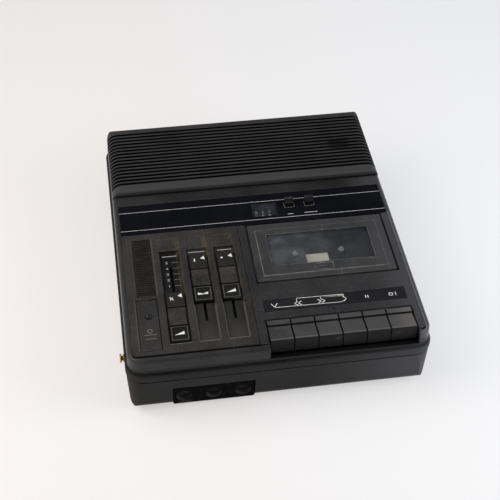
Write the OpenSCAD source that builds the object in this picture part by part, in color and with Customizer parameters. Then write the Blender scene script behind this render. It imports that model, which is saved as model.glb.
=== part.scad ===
// Portable cassette recorder: case, deck, keys, sliders and tape mechanism, in millimetres.
// The origin is on the table under the middle of the case: +X right, +Y to the rear, +Z up.

/* [Case] */
// Width of the case at its band
body_w = 260; // [254:1:280]
// Depth of the case at its band
body_d = 305; // [300:1:330]
// Height of the deck above the table
deck_z = 68; // [66:0.5:76]
// Height of the rubber feet
foot_h = 3; // [2:0.5:5]
// Thickness of the bottom shell
shell_t = 3; // [2:0.25:3.5]
// Plan radius of the corners at the band
corner_r = 16; // [16:0.5:22]
// Height of the band's lower edge above the table
band_z = 43.7; // [42:0.1:45]
// Height of the band
band_h = 6.5; // [5:0.25:7.5]
// Height of the shadow groove above the band
groove_h = 3.8; // [3:0.1:4.5]
// Thickness of the band's wall
band_t = 6.5; // [5.5:0.1:7]
// Depth of the shadow groove behind the band's face
neck_inset = 4; // [3:0.1:4.5]
// Reveal between the bottom shell and the band
reveal_h = 0.8; // [0.4:0.1:1.5]
// How far the bottom shell's sides draw in towards the table
bottom_taper = 2; // [1:0.25:4]
// Radius of the bottom shell's lower edge at the sides and rear
bottom_r = 6; // [4:0.25:8]
// How far the bottom shell's front draws in towards the table
front_taper = 4; // [2:0.25:5]
// Radius of the bottom shell's lower edge at the front
front_edge_r = 12.4; // [8:0.2:14]
// How far the upper shell stands inside the band
upper_inset = 2; // [1.5:0.1:2.5]
// Draft of the upper shell's sides
upper_draft = 0.6; // [0.2:0.1:1]
// Wall of the upper shell
upper_t = 3.5; // [3:0.1:4]
// Radius of the upper shell's shoulder
shoulder_r = 3.5; // [2:0.25:4]
// Plan radius of the upper shell's rear corners
upper_rear_r = 10; // [8:0.5:16]
// Width of the rim round the deck panels
rim_w = 4.45; // [4:0.05:6]

/* [Deck] */
// Thickness of the deck panels and the fascia strip
panel_t = 3; // [2.5:0.1:4]
// Thickness of the ledge that carries the panels
ledge_t = 3; // [2:0.25:4]
// Width of the ledge that carries the panels
ledge_w = 5; // [4:0.25:6]
// Distance of the lid's front edge behind the deck's front edge
front_d = 71.65; // [71:0.05:74]
// Depth of the fascia strip as a share of the case's depth
strip_share = 0.132; // [0.12:0.001:0.14]
// Depth of the bar between the fascia strip and the grille as a share of the case's depth
bar_share = 0.041; // [0.035:0.001:0.048]
// Plan radius of the panels' front corners
panel_r = 4; // [2:0.5:6]
// Width of the land between the control panel's seam and the lid
seam_land = 7.6; // [7:0.1:9]

/* [Fits] */
// Gap round panels that are set into the case
panel_gap = 0.4; // [0.2:0.05:0.6]
// Gap in front of the deck panels
front_gap = 1.8; // [0.6:0.1:2]
// Gap round the lid, keys, knobs and buttons
move_gap = 0.6; // [0.4:0.05:0.8]
// Radial clearance of turning shafts
shaft_gap = 0.05; // [0.02:0.01:0.08]
// Gap under parts that slide on a floor
slide_gap = 0.2; // [0.1:0.05:0.4]

/* [Grille] */
// Height of the grille above the deck
grille_h = 7; // [6:0.25:9]
// How far the grille stands inside the band at the sides
grille_inset = 2.6; // [2:0.1:4]
// How far the grille stands inside the band at the rear
grille_rear = 3.5; // [3:0.1:6]
// Plan radius of the grille's front corners
grille_front_r = 3; // [2:0.5:5]
// Plan radius of the grille's rear corners
grille_rear_r = 5; // [3:0.5:10]
// Radius of the grille's front edge
lip_front_r = 2.5; // [1:0.25:4]
// Radius of the grille's rear edge
lip_rear_r = 5; // [2:0.25:7]
// Number of grooves between the ribs
groove_n = 16; // [10:1:17]
// Plain border in front of the ribs and behind them
rib_border = 9.5; // [8:0.25:12]
// Width of a groove as a share of the grooves' spacing
groove_share = 0.59; // [0.4:0.01:0.7]
// Depth of a groove
groove_depth = 3.6; // [2.5:0.1:4]

/* [Lid and keys] */
// Width of the cassette lid
lid_w = 125.4; // [122:0.1:127]
// Depth of the cassette lid
lid_d = 73.6; // [72:0.1:75]
// Thickness of the lid
lid_t = 2.7; // [2.4:0.1:2.8]
// Distance of the lid from the right edge of the deck panel
lid_margin = 7; // [6.5:0.1:8]
// Radius of the lid's hinge barrel
barrel_r = 2.6; // [2.4:0.1:2.8]
// Radius of the lid's hinge pin
lid_pin_r = 1; // [0.8:0.1:1.2]
// Width of the lid's window
window_w = 93.2; // [85:0.1:96]
// Depth of the lid's window
window_d = 40; // [34:0.1:43]
// Distance of the window from the lid's rear edge
window_back = 15; // [13:0.1:17]
// Spacing of the keys
key_pitch = 20.5; // [19.5:0.1:21]
// Depth of the key opening behind the deck's front edge
key_open_d = 26.65; // [26:0.05:28]
// Height of the keys' front edge above the deck
key_rise = 2; // [1:0.1:3]
// Height of the rail in front of the keys above the upper shell's lower edge
rail_h = 2; // [1.5:0.1:2.5]
// Distance of the keys' axle behind the key opening
key_lever = 18.8; // [17:0.1:19.5]
// Depth of the keys' axle below the deck
key_axle_drop = 14; // [13:0.25:14.5]
// Radius of the keys' axle
key_axle_r = 1.5; // [1.2:0.1:1.8]

/* [Sliders] */
// Spacing of the slider lanes as a share of the control panel's width
lane_share = 0.231; // [0.225:0.001:0.24]
// Place of the first lane as a share of the control panel's width
first_share = 0.3853; // [0.38:0.001:0.4]
// Width of a slider lane
lane_w = 17; // [16.8:0.1:18]
// Length of a slider lane
lane_len = 109.8; // [106:0.2:112]
// Depth of a slider lane
lane_depth = 2.5; // [2:0.1:3]
// Length of the shallow pocket behind a lane
pocket_len = 14.6; // [12:0.2:16]
// Length of a slider knob
knob_len = 56.5; // [50:0.1:58]
// Height of a slider knob above the deck
knob_rise = 1.2; // [0.5:0.1:4]
// Travel of a slider knob
knob_travel = 43; // [36:0.5:44]
// Share of a knob's length taken by its middle tile
grip_share = 0.37; // [0.3:0.01:0.42]
// Width of the slot in a lane
slot_w = 2.4; // [2:0.1:3]

/* [Cassette mechanism] */
// Width of a compact cassette
cassette_w = 100.4; // [100.4:0.1:102]
// Side play of the cassette in its well
cassette_play = 1.3; // [0.8:0.1:1.6]
// Depth of the well's floor below the deck
well_depth = 17; // [16.5:0.25:17.5]
// Thickness of the well's walls
well_t = 2; // [1.6:0.1:2.2]
// Spacing of the reel spindles
hub_pitch = 42.5; // [42:0.1:43]
// Distance of the reel spindles in front of the lid's rear edge
hub_back = 33.2; // [32:0.1:34]
// Thickness of the steel chassis
chassis_t = 2; // [1.5:0.1:2.5]
// Radius of the flywheel
flywheel_r = 28; // [24:0.5:30]
// Radius of the capstan shaft
capstan_r = 1.25; // [1:0.05:1.5]
// Radius of the pinch roller
pinch_r = 6.5; // [6:0.1:7]
// Travel of the head bridge
bridge_travel = 6; // [4:0.25:6]
// Radius of the motor
motor_r = 17; // [14:0.5:18]
// Radius of the motor pulley
pulley_r = 5; // [4:0.25:7]

/* [Sockets and supply] */
// Radius of a socket's opening
socket_r = 6.6; // [6:0.1:7]
// Depth of a socket's opening
socket_depth = 7; // [5:0.5:8]
// Depth of the socket plate's face behind the band's face
recess_d = 6.5; // [6:0.1:7]
// Height of the socket recess above the table
recess_h = 31.6; // [30:0.2:34]
// Width of the socket recess as a share of the control panel's width
recess_share = 0.666; // [0.65:0.002:0.68]
// Spacing of the sockets as a share of the recess's width
socket_share = 0.36; // [0.34:0.002:0.37]
// Height of the sockets above the table
socket_z = 14.4; // [14:0.1:16]
// Thickness of the socket plate
plate_t = 2.5; // [2:0.1:3]
// Width of the case beside the battery bay
bay_side = 106; // [102:1:120]
// Depth of the battery bay
bay_d = 54; // [50:0.5:55]
// Height of the battery bay
bay_h = 26; // [24:0.5:27]
// Radius of the loudspeaker as a share of the grille's depth
speaker_share = 0.398; // [0.34:0.002:0.41]
// Radius of the strap stud's head
stud_r = 4; // [3:0.1:5]
// Length of the strap stud outside the band
stud_out = 3.6; // [3:0.1:4]

/* [Hidden] */
$fn = 48;

// Segments of a quarter round
arc_n = 8;
// Overlap of a cut with the air outside
cut = 1;

// Levels of the case
half_w = body_w / 2;
half_d = body_d / 2;
upper_z = band_z + band_h + groove_h;
panel_z = deck_z - panel_t;
ledge_z = panel_z - ledge_t;
floor_z = foot_h + shell_t;
rim_z = band_z - reveal_h;
rim_inset = 0.4;
tongue_inset = 1.6;

// Edges of the deck panels
rim_in = upper_inset + upper_draft + rim_w;
panel_x = half_w - rim_in;
panel_y0 = rim_in - half_d;
hinge_gap = 0.9;
strip_y0 = panel_y0 + front_d + lid_d + hinge_gap;
strip_y1 = strip_y0 + strip_share * body_d;
grille_y0 = strip_y1 + bar_share * body_d;
grille_y1 = half_d - grille_rear;
grille_x = half_w - grille_inset;
grille_yc = (grille_y0 + grille_y1) / 2;
grille_d = grille_y1 - grille_y0;
grille_z0 = deck_z - shoulder_r;
grille_z1 = deck_z + grille_h;
// The side's round ends above a short upright foot
grille_foot = 0.5;
grille_r = grille_z1 - grille_z0 - grille_foot;
groove_pitch = (grille_d - 2 * rib_border) / (groove_n - 1 + groove_share);
groove_w = groove_share * groove_pitch;

// Lid, hinge and cassette
lid_x1 = panel_x - lid_margin;
lid_x0 = lid_x1 - lid_w;
lid_y1 = strip_y0 - hinge_gap;
lid_y0 = lid_y1 - lid_d;
lid_axis_y = lid_y1 - barrel_r;
lid_axis_z = deck_z - barrel_r;
lid_z0 = deck_z - lid_t;
lid_plateau = 0.5;
lid_heel = barrel_r + 0.3;
heel_r = 1.2;
seam_x = lid_x0 - seam_land;
window_x0 = (lid_x0 + lid_x1 - window_w) / 2;
window_y1 = lid_y1 - window_back;
window_y0 = window_y1 - window_d;
window_lip = 2.5;
window_t = 1.6;
ear_w = 3.4;

tape_x = (lid_x0 + lid_x1) / 2 - 1.2;
tape_y = lid_y1 - hub_back;
well_x0 = tape_x - cassette_w / 2 - cassette_play;
well_x1 = tape_x + cassette_w / 2 + cassette_play;
well_y1 = lid_axis_y - 1.4;
well_y0 = lid_y0 - 16.2;
well_z = deck_z - well_depth;
flange_t = 2;
flange_over = 1.2;
chassis_z1 = well_z - well_t;
chassis_z0 = chassis_z1 - chassis_t;

// Keys
key_n = 6;
key_y1 = panel_y0 + key_open_d;
key_y0 = panel_y0 + 1.85;
key_axle_y = key_y1 + key_lever;
key_axle_z = deck_z - key_axle_drop;
key_foot_z = upper_z + rail_h + 0.6;
key_lip_d = 6.2;
key_skin = 1.5;
symbol_y0 = key_y1 + 9.8;
symbol_d = 14.6;
symbol_t = 1;

// Slider lanes, louvre and lamp on the control panel
control_w = seam_x + panel_x;
lane_pitch = lane_share * control_w;
lane_y0 = panel_y0 + 12.7;
lane_z = deck_z - lane_depth;
lane_floor_t = 2;
lane_step = 0.7;
pocket_depth = 0.5;
slot_y0 = lane_y0 + 23.2;
slot_len = 67.3;
knob_w = lane_w - 2 * panel_gap;
knob_front_y = lane_y0 + panel_gap + knob_len / 2;
knob_rear_y = knob_front_y + knob_travel;
pot_z0 = lane_z - lane_floor_t - 7;
pot_r = 5;
louvre_x0 = -panel_x + 0.086 * control_w;
louvre_w = 0.147 * control_w;
louvre_y1 = strip_y0 - 7.4;
louvre_t = 2;
lamp_plate_x0 = -panel_x + 0.068 * control_w;
lamp_plate_w = 0.17 * control_w;
lamp_plate_y0 = panel_y0 + 6.75;
lamp_plate_len = 57.7;
lamp_plate_t = 0.8;
plate_gap = 4.1;
louvre_len = louvre_y1 - lamp_plate_y0 - lamp_plate_len - plate_gap;
lamp_x = lamp_plate_x0 + 0.51 * lamp_plate_w;
lamp_y = panel_y0 + 44.65;
lamp_r = 2.6;

// Counter and buttons on the fascia strip
counter_x0 = lid_x0 + 8.7;
counter_w = 23.5;
counter_y0 = strip_y0 + 9.9;
counter_d = 17.4;
counter_lens_t = 1.4;
wheel_r = 7;
wheel_pitch = 6;
wheel_y = counter_y0 + counter_d / 2;
wheel_z = panel_z - wheel_r - 0.6;
wheel_x0 = counter_x0 + 4.5;
counter_pin_r = 1;
button_x0 = lid_x0 + 44.2;
button_pitch = 19;
button_y = strip_y0 + 23.4;
button_w = 7.6;
button_rise = 6;
button_flange = 1.2;
button_travel = 2.5;

// Tape drive
capstan_x = tape_x + 23.5;
capstan_y = tape_y - 28.6;
flywheel_z1 = chassis_z0 - 8;
flywheel_t = 7;
belt_z = flywheel_z1 - flywheel_t / 2;
motor_x = tape_x - 42;
motor_z1 = belt_z - 3.5;
motor_h = 22;
belt_t = 1.2;
belt_h = 3;
bridge_z0 = well_z + slide_gap;
bridge_t = 1.5;
bridge_y0 = well_y0 + 2;
bridge_d = 13;
head_y0 = bridge_y0 + 4;
pinch_y = capstan_y - capstan_r - pinch_r - bridge_travel - 0.45;
pinch_z0 = bridge_z0 + bridge_t + 1.3;
pinch_h = 7.6;
spindle_top = 11;

// Sockets, battery bay and supply
recess_w = recess_share * control_w;
recess_x0 = -panel_x + 0.288 * control_w;
recess_y = recess_d - half_d;
recess_wall = 2.5;
plate_z0 = foot_h + 2;
socket_wall = 1.5;
socket_body = 14;
bay_x0 = 34 - half_w;
bay_w = body_w - bay_side;
bay_y1 = half_d - 14.5;
bay_y0 = bay_y1 - bay_d;
bay_t = 1.5;
bay_frame_t = 2;
door_t = 2.2;
door_border = 2.5;
door_tongue = 1.6;
inlet_x = half_w - 40;
inlet_z = 25;
inlet_y1 = half_d - 2.7;
speaker_x = 68 - half_w;
speaker_r = speaker_share * grille_d;
sound_r = speaker_r - 5;
sound_n = 12;
magnet_r = 0.58 * speaker_r;
speaker_gap = 5.5;
cap_under = 1;
speaker_h = deck_z + cap_under - floor_z - bay_h - bay_t - speaker_gap;
board_z0 = chassis_z0 - 1;
board_t = 1.6;
board_x0 = 26 - half_w;
board_x1 = seam_x + 4;
board_y0 = panel_y0 + 24;
board_y1 = strip_y0 + 28;
stud_y = 27.5 - half_d;
stud_pin_r = 1.95;
foot_x = half_w - 22;
foot_y = half_d - 37.5;
foot_r = 7;
screw_head_r = 3.4;
screw_r = 1.5;
screw_seat = 9;
boss_r = 4;

// Places of the case screws
SCREWS = [[18 - half_w, 20.5 - half_d], [lid_x0 - 5, 16 - half_d], [18 - half_w, strip_y0 + 19.3],
    [half_w - 18, strip_y0 + 19.3], [18 - half_w, half_d - 20.5], [half_w - 18, half_d - 20.5]];

// Points of an arc about a centre
function arc(c, r, a0, a1, n = arc_n) =
    [for (i = [0:n]) let (a = a0 + (a1 - a0) * i / n) c + r * [cos(a), sin(a)]];

// A symmetrical outline from the [inset, height] points of its side
function mirrored(half, side) = concat(
    [for (p = side) [half - p[0], p[1]]],
    [for (i = [len(side) - 1:-1:0]) [side[i][0] - half, side[i][1]]]);

// Outer side of the bottom shell, set in by t
function bottom_side(t, top) = concat(
    [for (p = arc([0, 0], bottom_r - t, -90, 0))
        [bottom_taper + bottom_r - p[0], foot_h + bottom_r + p[1]]],
    [[rim_inset + t, top]]);

// Outer side of the upper shell
upper_side = concat([[upper_inset, upper_z]],
    [for (p = arc([0, 0], shoulder_r, 0, 90))
        [upper_inset + upper_draft + shoulder_r - p[0], deck_z - shoulder_r + p[1]]]);

// Cross-section of the grille, set in by t
function grille_side(t) = concat([[t, grille_z0]],
    [for (p = arc([0, 0], grille_r - t, 0, 90)) [grille_r - p[0], grille_z0 + grille_foot + p[1]]]);

// A block between two corners
module box(a, b) {
    translate(a) cube(b - a);
}

// A rounded rectangle about the origin
module plan(w, d, r) {
    square([w - 2 * r, d], center = true);
    square([w, d - 2 * r], center = true);
    for (x = [-1, 1], y = [-1, 1])
        translate([x * (w / 2 - r), y * (d / 2 - r)]) circle(r);
}

// A block with rounded upright edges, between two corners
module rounded_box(a, b, r) {
    translate([(a[0] + b[0]) / 2, (a[1] + b[1]) / 2, a[2]])
        linear_extrude(b[2] - a[2]) plan(b[0] - a[0], b[1] - a[1], r);
}

// A slab of the case's outline, set in all round
module case_slab(inset, z0, z1) {
    translate([0, 0, z0]) linear_extrude(z1 - z0)
        plan(body_w - 2 * inset, body_d - 2 * inset, corner_r - inset);
}

// A solid whose side follows [inset, height] points round the case's outline
module swept_block(side, rear_r = corner_r) {
    top = side[len(side) - 1][1];
    translate([0, half_d - rear_r, 0]) rotate([90, 0, 0]) linear_extrude(body_d - corner_r - rear_r)
        polygon(mirrored(half_w, side));
    for (y = [-1, 1]) {
        r = y > 0 ? rear_r : corner_r;
        prism_x(r - half_w, half_w - r,
            concat([[0, side[0][1]]], [for (p = side) [y * (half_d - p[0]), p[1]]], [[0, top]]));
        for (x = [-1, 1])
            translate([x * (half_w - r), y * (half_d - r), 0]) rotate_extrude()
                polygon(concat([[0, side[0][1]]], [for (p = side) [r - p[0], p[1]]], [[0, top]]));
    }
}

// The bottom shell's form, set in by t, with a fuller round along its front edge
module bottom_form(t, top) {
    intersection() {
        swept_block(bottom_side(t, top));
        prism_x(-half_w, half_w, concat([[half_d, foot_h + t]],
            arc([front_taper + front_edge_r - half_d, foot_h + front_edge_r], front_edge_r - t, -90, -180),
            [[rim_inset + t - half_d, top], [half_d, top]]));
    }
}

// A rod along X from a point
module rod_x(p, r, length) {
    translate(p) rotate([0, 90, 0]) cylinder(r = r, h = length);
}

// A prism along X of an outline in Y and Z
module prism_x(x0, x1, points) {
    translate([x0, 0, 0]) rotate([90, 0, 90]) linear_extrude(x1 - x0) polygon(points);
}

// Upright cylinder from one level to another
module post(x, y, r, z0, z1) {
    translate([x, y, z0]) cylinder(r = r, h = z1 - z0);
}

function lane_x(i) = -panel_x + first_share * control_w + i * lane_pitch;
function socket_x(i) = recess_x0 + (0.5 + (i - 1) * socket_share) * recess_w;
function groove_y(i) = grille_yc + (i - (groove_n - 1) / 2) * groove_pitch;
function key_x0(i) = lid_x0 + i * key_pitch;
function key_x1(i) = i == key_n - 1 ? lid_x1 : lid_x0 + (i + 1) * key_pitch;

// Channel in which the battery door runs, open to the rear
door_x0 = bay_x0 - door_border;
door_x1 = bay_x0 + bay_w + door_border;
door_y0 = bay_y0 - door_border;

module socket_recess_walls() {
    intersection() {
        box([recess_x0 - recess_wall, -half_d, foot_h],
            [recess_x0 + recess_w + recess_wall, recess_y + plate_t + recess_wall, recess_h + recess_wall]);
        bottom_form(0, rim_z);
    }
}

module bay_walls() {
    box([door_x0 - 3, door_y0 - 3, floor_z - 0.5], [door_x1 + 3, bay_y1 + 2.5, floor_z + bay_frame_t]);
    box([bay_x0 - bay_t, bay_y0 - bay_t, floor_z],
        [bay_x0 + bay_w + bay_t, bay_y1 + bay_t, floor_z + bay_h + bay_t]);
}

module bottom_shell() {
    color("#2b2c2e")
    difference() {
        union() {
            difference() {
                bottom_form(0, rim_z);
                bottom_form(shell_t, rim_z + cut);
            }
            difference() {
                case_slab(tongue_inset, rim_z - 2, band_z);
                case_slab(rim_inset + shell_t, rim_z - 2 - cut, band_z + cut);
            }
            socket_recess_walls();
            bay_walls();
            for (s = SCREWS)
                post(s[0], s[1], boss_r, floor_z - 1, band_z);
            for (x = [board_x0 + 4, board_x1 - 4], y = [board_y0 + 6, board_y1 - 7])
                post(x, y, 3, floor_z - 1, board_z0);
            post(motor_x, capstan_y, motor_r - 3, floor_z - 1, motor_z1 - motor_h);
            box([inlet_x - 16, inlet_y1 - 6, inlet_z - 13], [inlet_x + 16, inlet_y1 - 0.5, inlet_z + 13]);
        }
        // socket recess, open at the front and below
        box([recess_x0, -half_d - cut, 0], [recess_x0 + recess_w, recess_y + plate_t, recess_h]);
        for (i = [0:2])
            translate([socket_x(i), recess_y, socket_z]) rotate([-90, 0, 0])
                cylinder(r = socket_r + socket_wall + panel_gap / 2, h = socket_body + cut);
        // battery bay and the channel of its door
        box([bay_x0, bay_y0, 0], [bay_x0 + bay_w, bay_y1, floor_z + bay_h]);
        box([door_x0, door_y0, 0], [door_x1, half_d + cut, foot_h + door_t + panel_gap]);
        box([door_x0 - door_tongue - panel_gap, door_y0, foot_h + 0.9],
            [door_x1 + door_tongue + panel_gap, half_d + cut, foot_h + door_t + panel_gap]);
        for (s = SCREWS) {
            post(s[0], s[1], screw_head_r + panel_gap, 0, foot_h + screw_seat);
            post(s[0], s[1], screw_r + 0.2, 0, band_z + cut);
        }
        box([inlet_x - 12, inlet_y1 - 7, inlet_z - 9], [inlet_x + 12, half_d, inlet_z + 9]);
    }
}

module middle_frame() {
    color("#2b2c2e")
    difference() {
        union() {
            swept_block([[0.8, band_z], [0, band_z + 0.8], [0, band_z + band_h - 1], [1, band_z + band_h]]);
            case_slab(neck_inset, band_z + band_h - 1, upper_z);
        }
        case_slab(band_t, band_z - cut, upper_z + cut);
        rod_x([-half_w - cut, stud_y, band_z + band_h / 2], stud_pin_r + shaft_gap, band_t + 2 * cut);
    }
}

module upper_shell() {
    color("#2b2c2e")
    difference() {
        union() {
            difference() {
                swept_block(upper_side, upper_rear_r);
                case_slab(upper_inset + upper_t, upper_z - cut, ledge_z);
                // room under the grille, inside the ledge that carries it
                box([-panel_x + ledge_w, grille_y0 + ledge_w, ledge_z - cut],
                    [panel_x - ledge_w, half_d - upper_inset - upper_t - ledge_w, deck_z + cut]);
                // key opening through the front wall, above the rail
                box([lid_x0 - move_gap, -half_d, upper_z + rail_h],
                    [lid_x1 + move_gap, panel_y0 + ledge_w + cut, deck_z + cut]);
            }
            // rail below the keys
            box([lid_x0 - move_gap - 1, upper_inset + upper_t - half_d - 0.5, upper_z],
                [lid_x1 + move_gap + 1, key_y0 - 2.4, upper_z + rail_h]);
            for (s = SCREWS) {
                post(s[0], s[1], boss_r, band_z, panel_z);
                if (s[1] < strip_y1) screw_web(s);
            }
        }
        // seat of the deck panels and the fascia strip
        translate([0, 0, panel_z]) linear_extrude(panel_t + cut) {
            translate([0, (panel_y0 + strip_y1) / 2]) plan(2 * panel_x, strip_y1 - panel_y0, panel_r);
            translate([-panel_x, strip_y0]) square([2 * panel_x, strip_y1 - strip_y0]);
        }
        difference() {
            box([-panel_x + ledge_w, panel_y0 + ledge_w, ledge_z - cut],
                [panel_x - ledge_w, strip_y1 - ledge_w, panel_z + cut]);
            for (s = SCREWS) {
                post(s[0], s[1], boss_r, band_z, panel_z);
                if (s[1] < strip_y1) screw_web(s);
            }
        }
        // seat of the grille
        box([-half_w, grille_y0, grille_z0], [half_w, half_d, deck_z + cut]);
        for (s = SCREWS)
            post(s[0], s[1], screw_r - 0.1, band_z - cut, panel_z - 4);
    }
}

// Web from a screw boss to the nearest stretch of the ledge
module screw_web(s) {
    if (abs(s[0]) > panel_x / 2)
        box([min(s[0], sign(s[0]) * (panel_x - ledge_w + 1)), s[1] - boss_r, ledge_z],
            [max(s[0], sign(s[0]) * (panel_x - ledge_w + 1)), s[1] + boss_r, panel_z]);
    else
        box([s[0] - boss_r, panel_y0 + ledge_w - 1, ledge_z], [s[0] + boss_r, s[1], panel_z]);
}

// Solid form of the grille: three outlines that meet
module grille_form() {
    front_c = [grille_x - grille_front_r, grille_y0 + grille_front_r];
    rear_c = [grille_x - grille_rear_r, grille_y1 - grille_rear_r];
    intersection() {
        translate([0, grille_y1, 0]) rotate([90, 0, 0]) linear_extrude(grille_d)
            polygon(mirrored(grille_x, grille_side(0)));
        prism_x(-half_w, half_w, concat([[grille_y0, grille_z0]],
            arc([grille_y0 + lip_front_r, grille_z1 - lip_front_r], lip_front_r, 180, 90),
            arc([grille_y1 - lip_rear_r, grille_z1 - lip_rear_r], lip_rear_r, 90, 0),
            [[grille_y1, grille_z0]]));
        translate([0, 0, grille_z0 - cut]) linear_extrude(grille_z1 - grille_z0 + 2 * cut) polygon(concat(
            arc(front_c, grille_front_r, -90, 0), arc(rear_c, grille_rear_r, 0, 90),
            arc([-rear_c[0], rear_c[1]], grille_rear_r, 90, 180),
            arc([-front_c[0], front_c[1]], grille_front_r, 180, 270)));
    }
}

// The part of the grille that one groove takes away, outside the inset profile
module groove_cut(y) {
    side = grille_side(groove_depth);
    translate([0, y + groove_w / 2, 0]) rotate([90, 0, 0]) linear_extrude(groove_w) difference() {
        translate([-half_w, grille_z0 - cut]) square([body_w, grille_z1 - grille_z0 + 2 * cut]);
        polygon(concat([[grille_x - side[0][0], grille_z0 - 2 * cut]], mirrored(grille_x, side),
            [[side[0][0] - grille_x, grille_z0 - 2 * cut]]));
    }
}

module grille_cover() {
    wall_x = 14;
    wall_front = 6;
    wall_rear = 8;
    color("#242527")
    difference() {
        grille_form();
        box([wall_x - grille_x, grille_y0 + wall_front, grille_z0 - cut],
            [grille_x - wall_x, grille_y1 - wall_rear, deck_z + cap_under]);
        for (i = [0:groove_n - 1]) {
            off = abs(groove_y(i) - grille_yc);
            groove_cut(groove_y(i));
            // slots above the loudspeaker
            if (abs(i - (groove_n - 1) / 2) < sound_n / 2)
                translate([speaker_x, groove_y(i), deck_z + grille_h / 2])
                    cube([2 * sqrt(sound_r * sound_r - off * off), 0.6 * groove_w, grille_h], center = true);
        }
    }
}

module fascia_strip() {
    color("#15161a")
    difference() {
        box([-panel_x + panel_gap, strip_y0 + panel_gap / 2, panel_z],
            [panel_x - panel_gap, strip_y1 - panel_gap, deck_z]);
        box([counter_x0, counter_y0, deck_z - counter_lens_t],
            [counter_x0 + counter_w, counter_y0 + counter_d, deck_z + cut]);
        box([counter_x0 + 1.2, counter_y0 + 1.2, panel_z - cut],
            [counter_x0 + counter_w - 1.2, counter_y0 + counter_d - 1.2, deck_z]);
        for (i = [0, 1])
            translate([button_x0 + i * button_pitch, button_y, deck_z])
                cube([button_w + move_gap, button_w + move_gap, 3 * panel_t], center = true);
    }
}

module control_panel() {
    color("#34332f")
    difference() {
        union() {
            difference() {
                rounded_box([-panel_x + panel_gap, panel_y0 + front_gap, panel_z],
                    [seam_x + 2 * panel_r, strip_y0 + 2 * panel_r, deck_z], panel_r);
                box([seam_x - panel_gap / 2, panel_y0, panel_z - cut],
                    [seam_x + 3 * panel_r, strip_y0 + 3 * panel_r, deck_z + cut]);
                box([-panel_x, strip_y0 - panel_gap / 2, panel_z - cut],
                    [seam_x, strip_y0 + 3 * panel_r, deck_z + cut]);
            }
            for (i = [0:2])
                box([lane_x(i) - lane_w / 2 - lane_floor_t, lane_y0 - lane_floor_t, lane_z - lane_floor_t],
                    [lane_x(i) + lane_w / 2 + lane_floor_t, lane_y0 + lane_len + lane_floor_t,
                        panel_z + 0.5]);
        }
        for (x = [lane_x(0), lane_x(1), lane_x(2)]) {
            box([x - lane_w / 2, lane_y0, lane_z], [x + lane_w / 2, lane_y0 + lane_len, deck_z + cut]);
            // shallow step round the lane and the pocket behind it
            box([x - lane_w / 2 - lane_step, lane_y0 - lane_step, deck_z - lane_step],
                [x + lane_w / 2 + lane_step, lane_y0 + lane_len + lane_step, deck_z + cut]);
            box([x - lane_w / 2, lane_y0 + lane_len + 2 * lane_step, deck_z - pocket_depth],
                [x + lane_w / 2, lane_y0 + lane_len + pocket_len, deck_z + cut]);
            box([x - slot_w / 2, slot_y0, panel_z - 3 * lane_floor_t],
                [x + slot_w / 2, slot_y0 + slot_len, deck_z]);
        }
        box([louvre_x0, louvre_y1 - louvre_len, deck_z - louvre_t],
            [louvre_x0 + louvre_w, louvre_y1, deck_z + cut]);
        post(louvre_x0 + louvre_w / 2, louvre_y1 - louvre_len / 2, 4, panel_z - cut, deck_z);
        box([lamp_plate_x0, lamp_plate_y0, deck_z - lamp_plate_t - 0.4],
            [lamp_plate_x0 + lamp_plate_w, lamp_plate_y0 + lamp_plate_len, deck_z + cut]);
        post(lamp_x, lamp_y, lamp_r + 0.2, panel_z - cut, deck_z);
    }
}

module deck_panel() {
    color("#2f3032")
    difference() {
        union() {
            difference() {
                rounded_box([seam_x - 2 * panel_r, panel_y0 + front_gap, panel_z],
                    [panel_x - panel_gap, strip_y0 + 2 * panel_r, deck_z], panel_r);
                box([seam_x - 3 * panel_r, panel_y0, panel_z - cut],
                    [seam_x + panel_gap / 2, strip_y0 + 3 * panel_r, deck_z + cut]);
                box([seam_x, strip_y0 - panel_gap / 2, panel_z - cut],
                    [panel_x, strip_y0 + 3 * panel_r, deck_z + cut]);
            }
            // ears of the lid's hinge
            for (x = [lid_x0 - move_gap - ear_w, lid_x1 + move_gap])
                box([x, lid_axis_y - 3.4, lid_axis_z - 3], [x + (x < lid_x0 ? ear_w : 1.4),
                    strip_y0 - panel_gap / 2, panel_z + 0.5]);
        }
        box([lid_x0 - move_gap, lid_y0 - move_gap, panel_z - cut],
            [lid_x1 + move_gap, strip_y0 + cut, deck_z + cut]);
        box([lid_x0 - move_gap, panel_y0 - cut, panel_z - cut], [lid_x1 + move_gap, key_y1, deck_z + cut]);
        box([lid_x0 + 0.4, symbol_y0, deck_z - symbol_t],
            [lid_x1 - 0.5, symbol_y0 + symbol_d, deck_z + cut]);
        rod_x([lid_x0 - move_gap - ear_w - cut, lid_axis_y, lid_axis_z], lid_pin_r + shaft_gap / 2,
            lid_w + 2 * (move_gap + ear_w + cut));
    }
}

module mic_louvre() {
    slat_n = 31;
    slat_pitch = louvre_len / (slat_n + 0.9);
    // the place left solid as a bar
    bar_i = 26;
    color("#242425")
    difference() {
        box([louvre_x0 + 0.2, louvre_y1 - louvre_len + 0.2, deck_z - louvre_t],
            [louvre_x0 + louvre_w - 0.2, louvre_y1 - 0.2, deck_z - 0.3]);
        for (i = [0:slat_n - 1])
            if (i != bar_i)
                translate([louvre_x0 + 1, louvre_y1 - (i + 1) * slat_pitch, deck_z - 1.3])
                    cube([louvre_w - 2, slat_pitch / 2, louvre_t]);
        post(louvre_x0 + louvre_w / 2, louvre_y1 - louvre_len / 2, 2, panel_z, deck_z - 1);
    }
}

module microphone() {
    color("#8a8c8f")
    translate([louvre_x0 + louvre_w / 2, louvre_y1 - louvre_len / 2, panel_z - 7]) difference() {
        cylinder(r = 5, h = 7);
        translate([0, 0, 5]) cylinder(r = 3.6, h = 3);
    }
}

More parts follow.
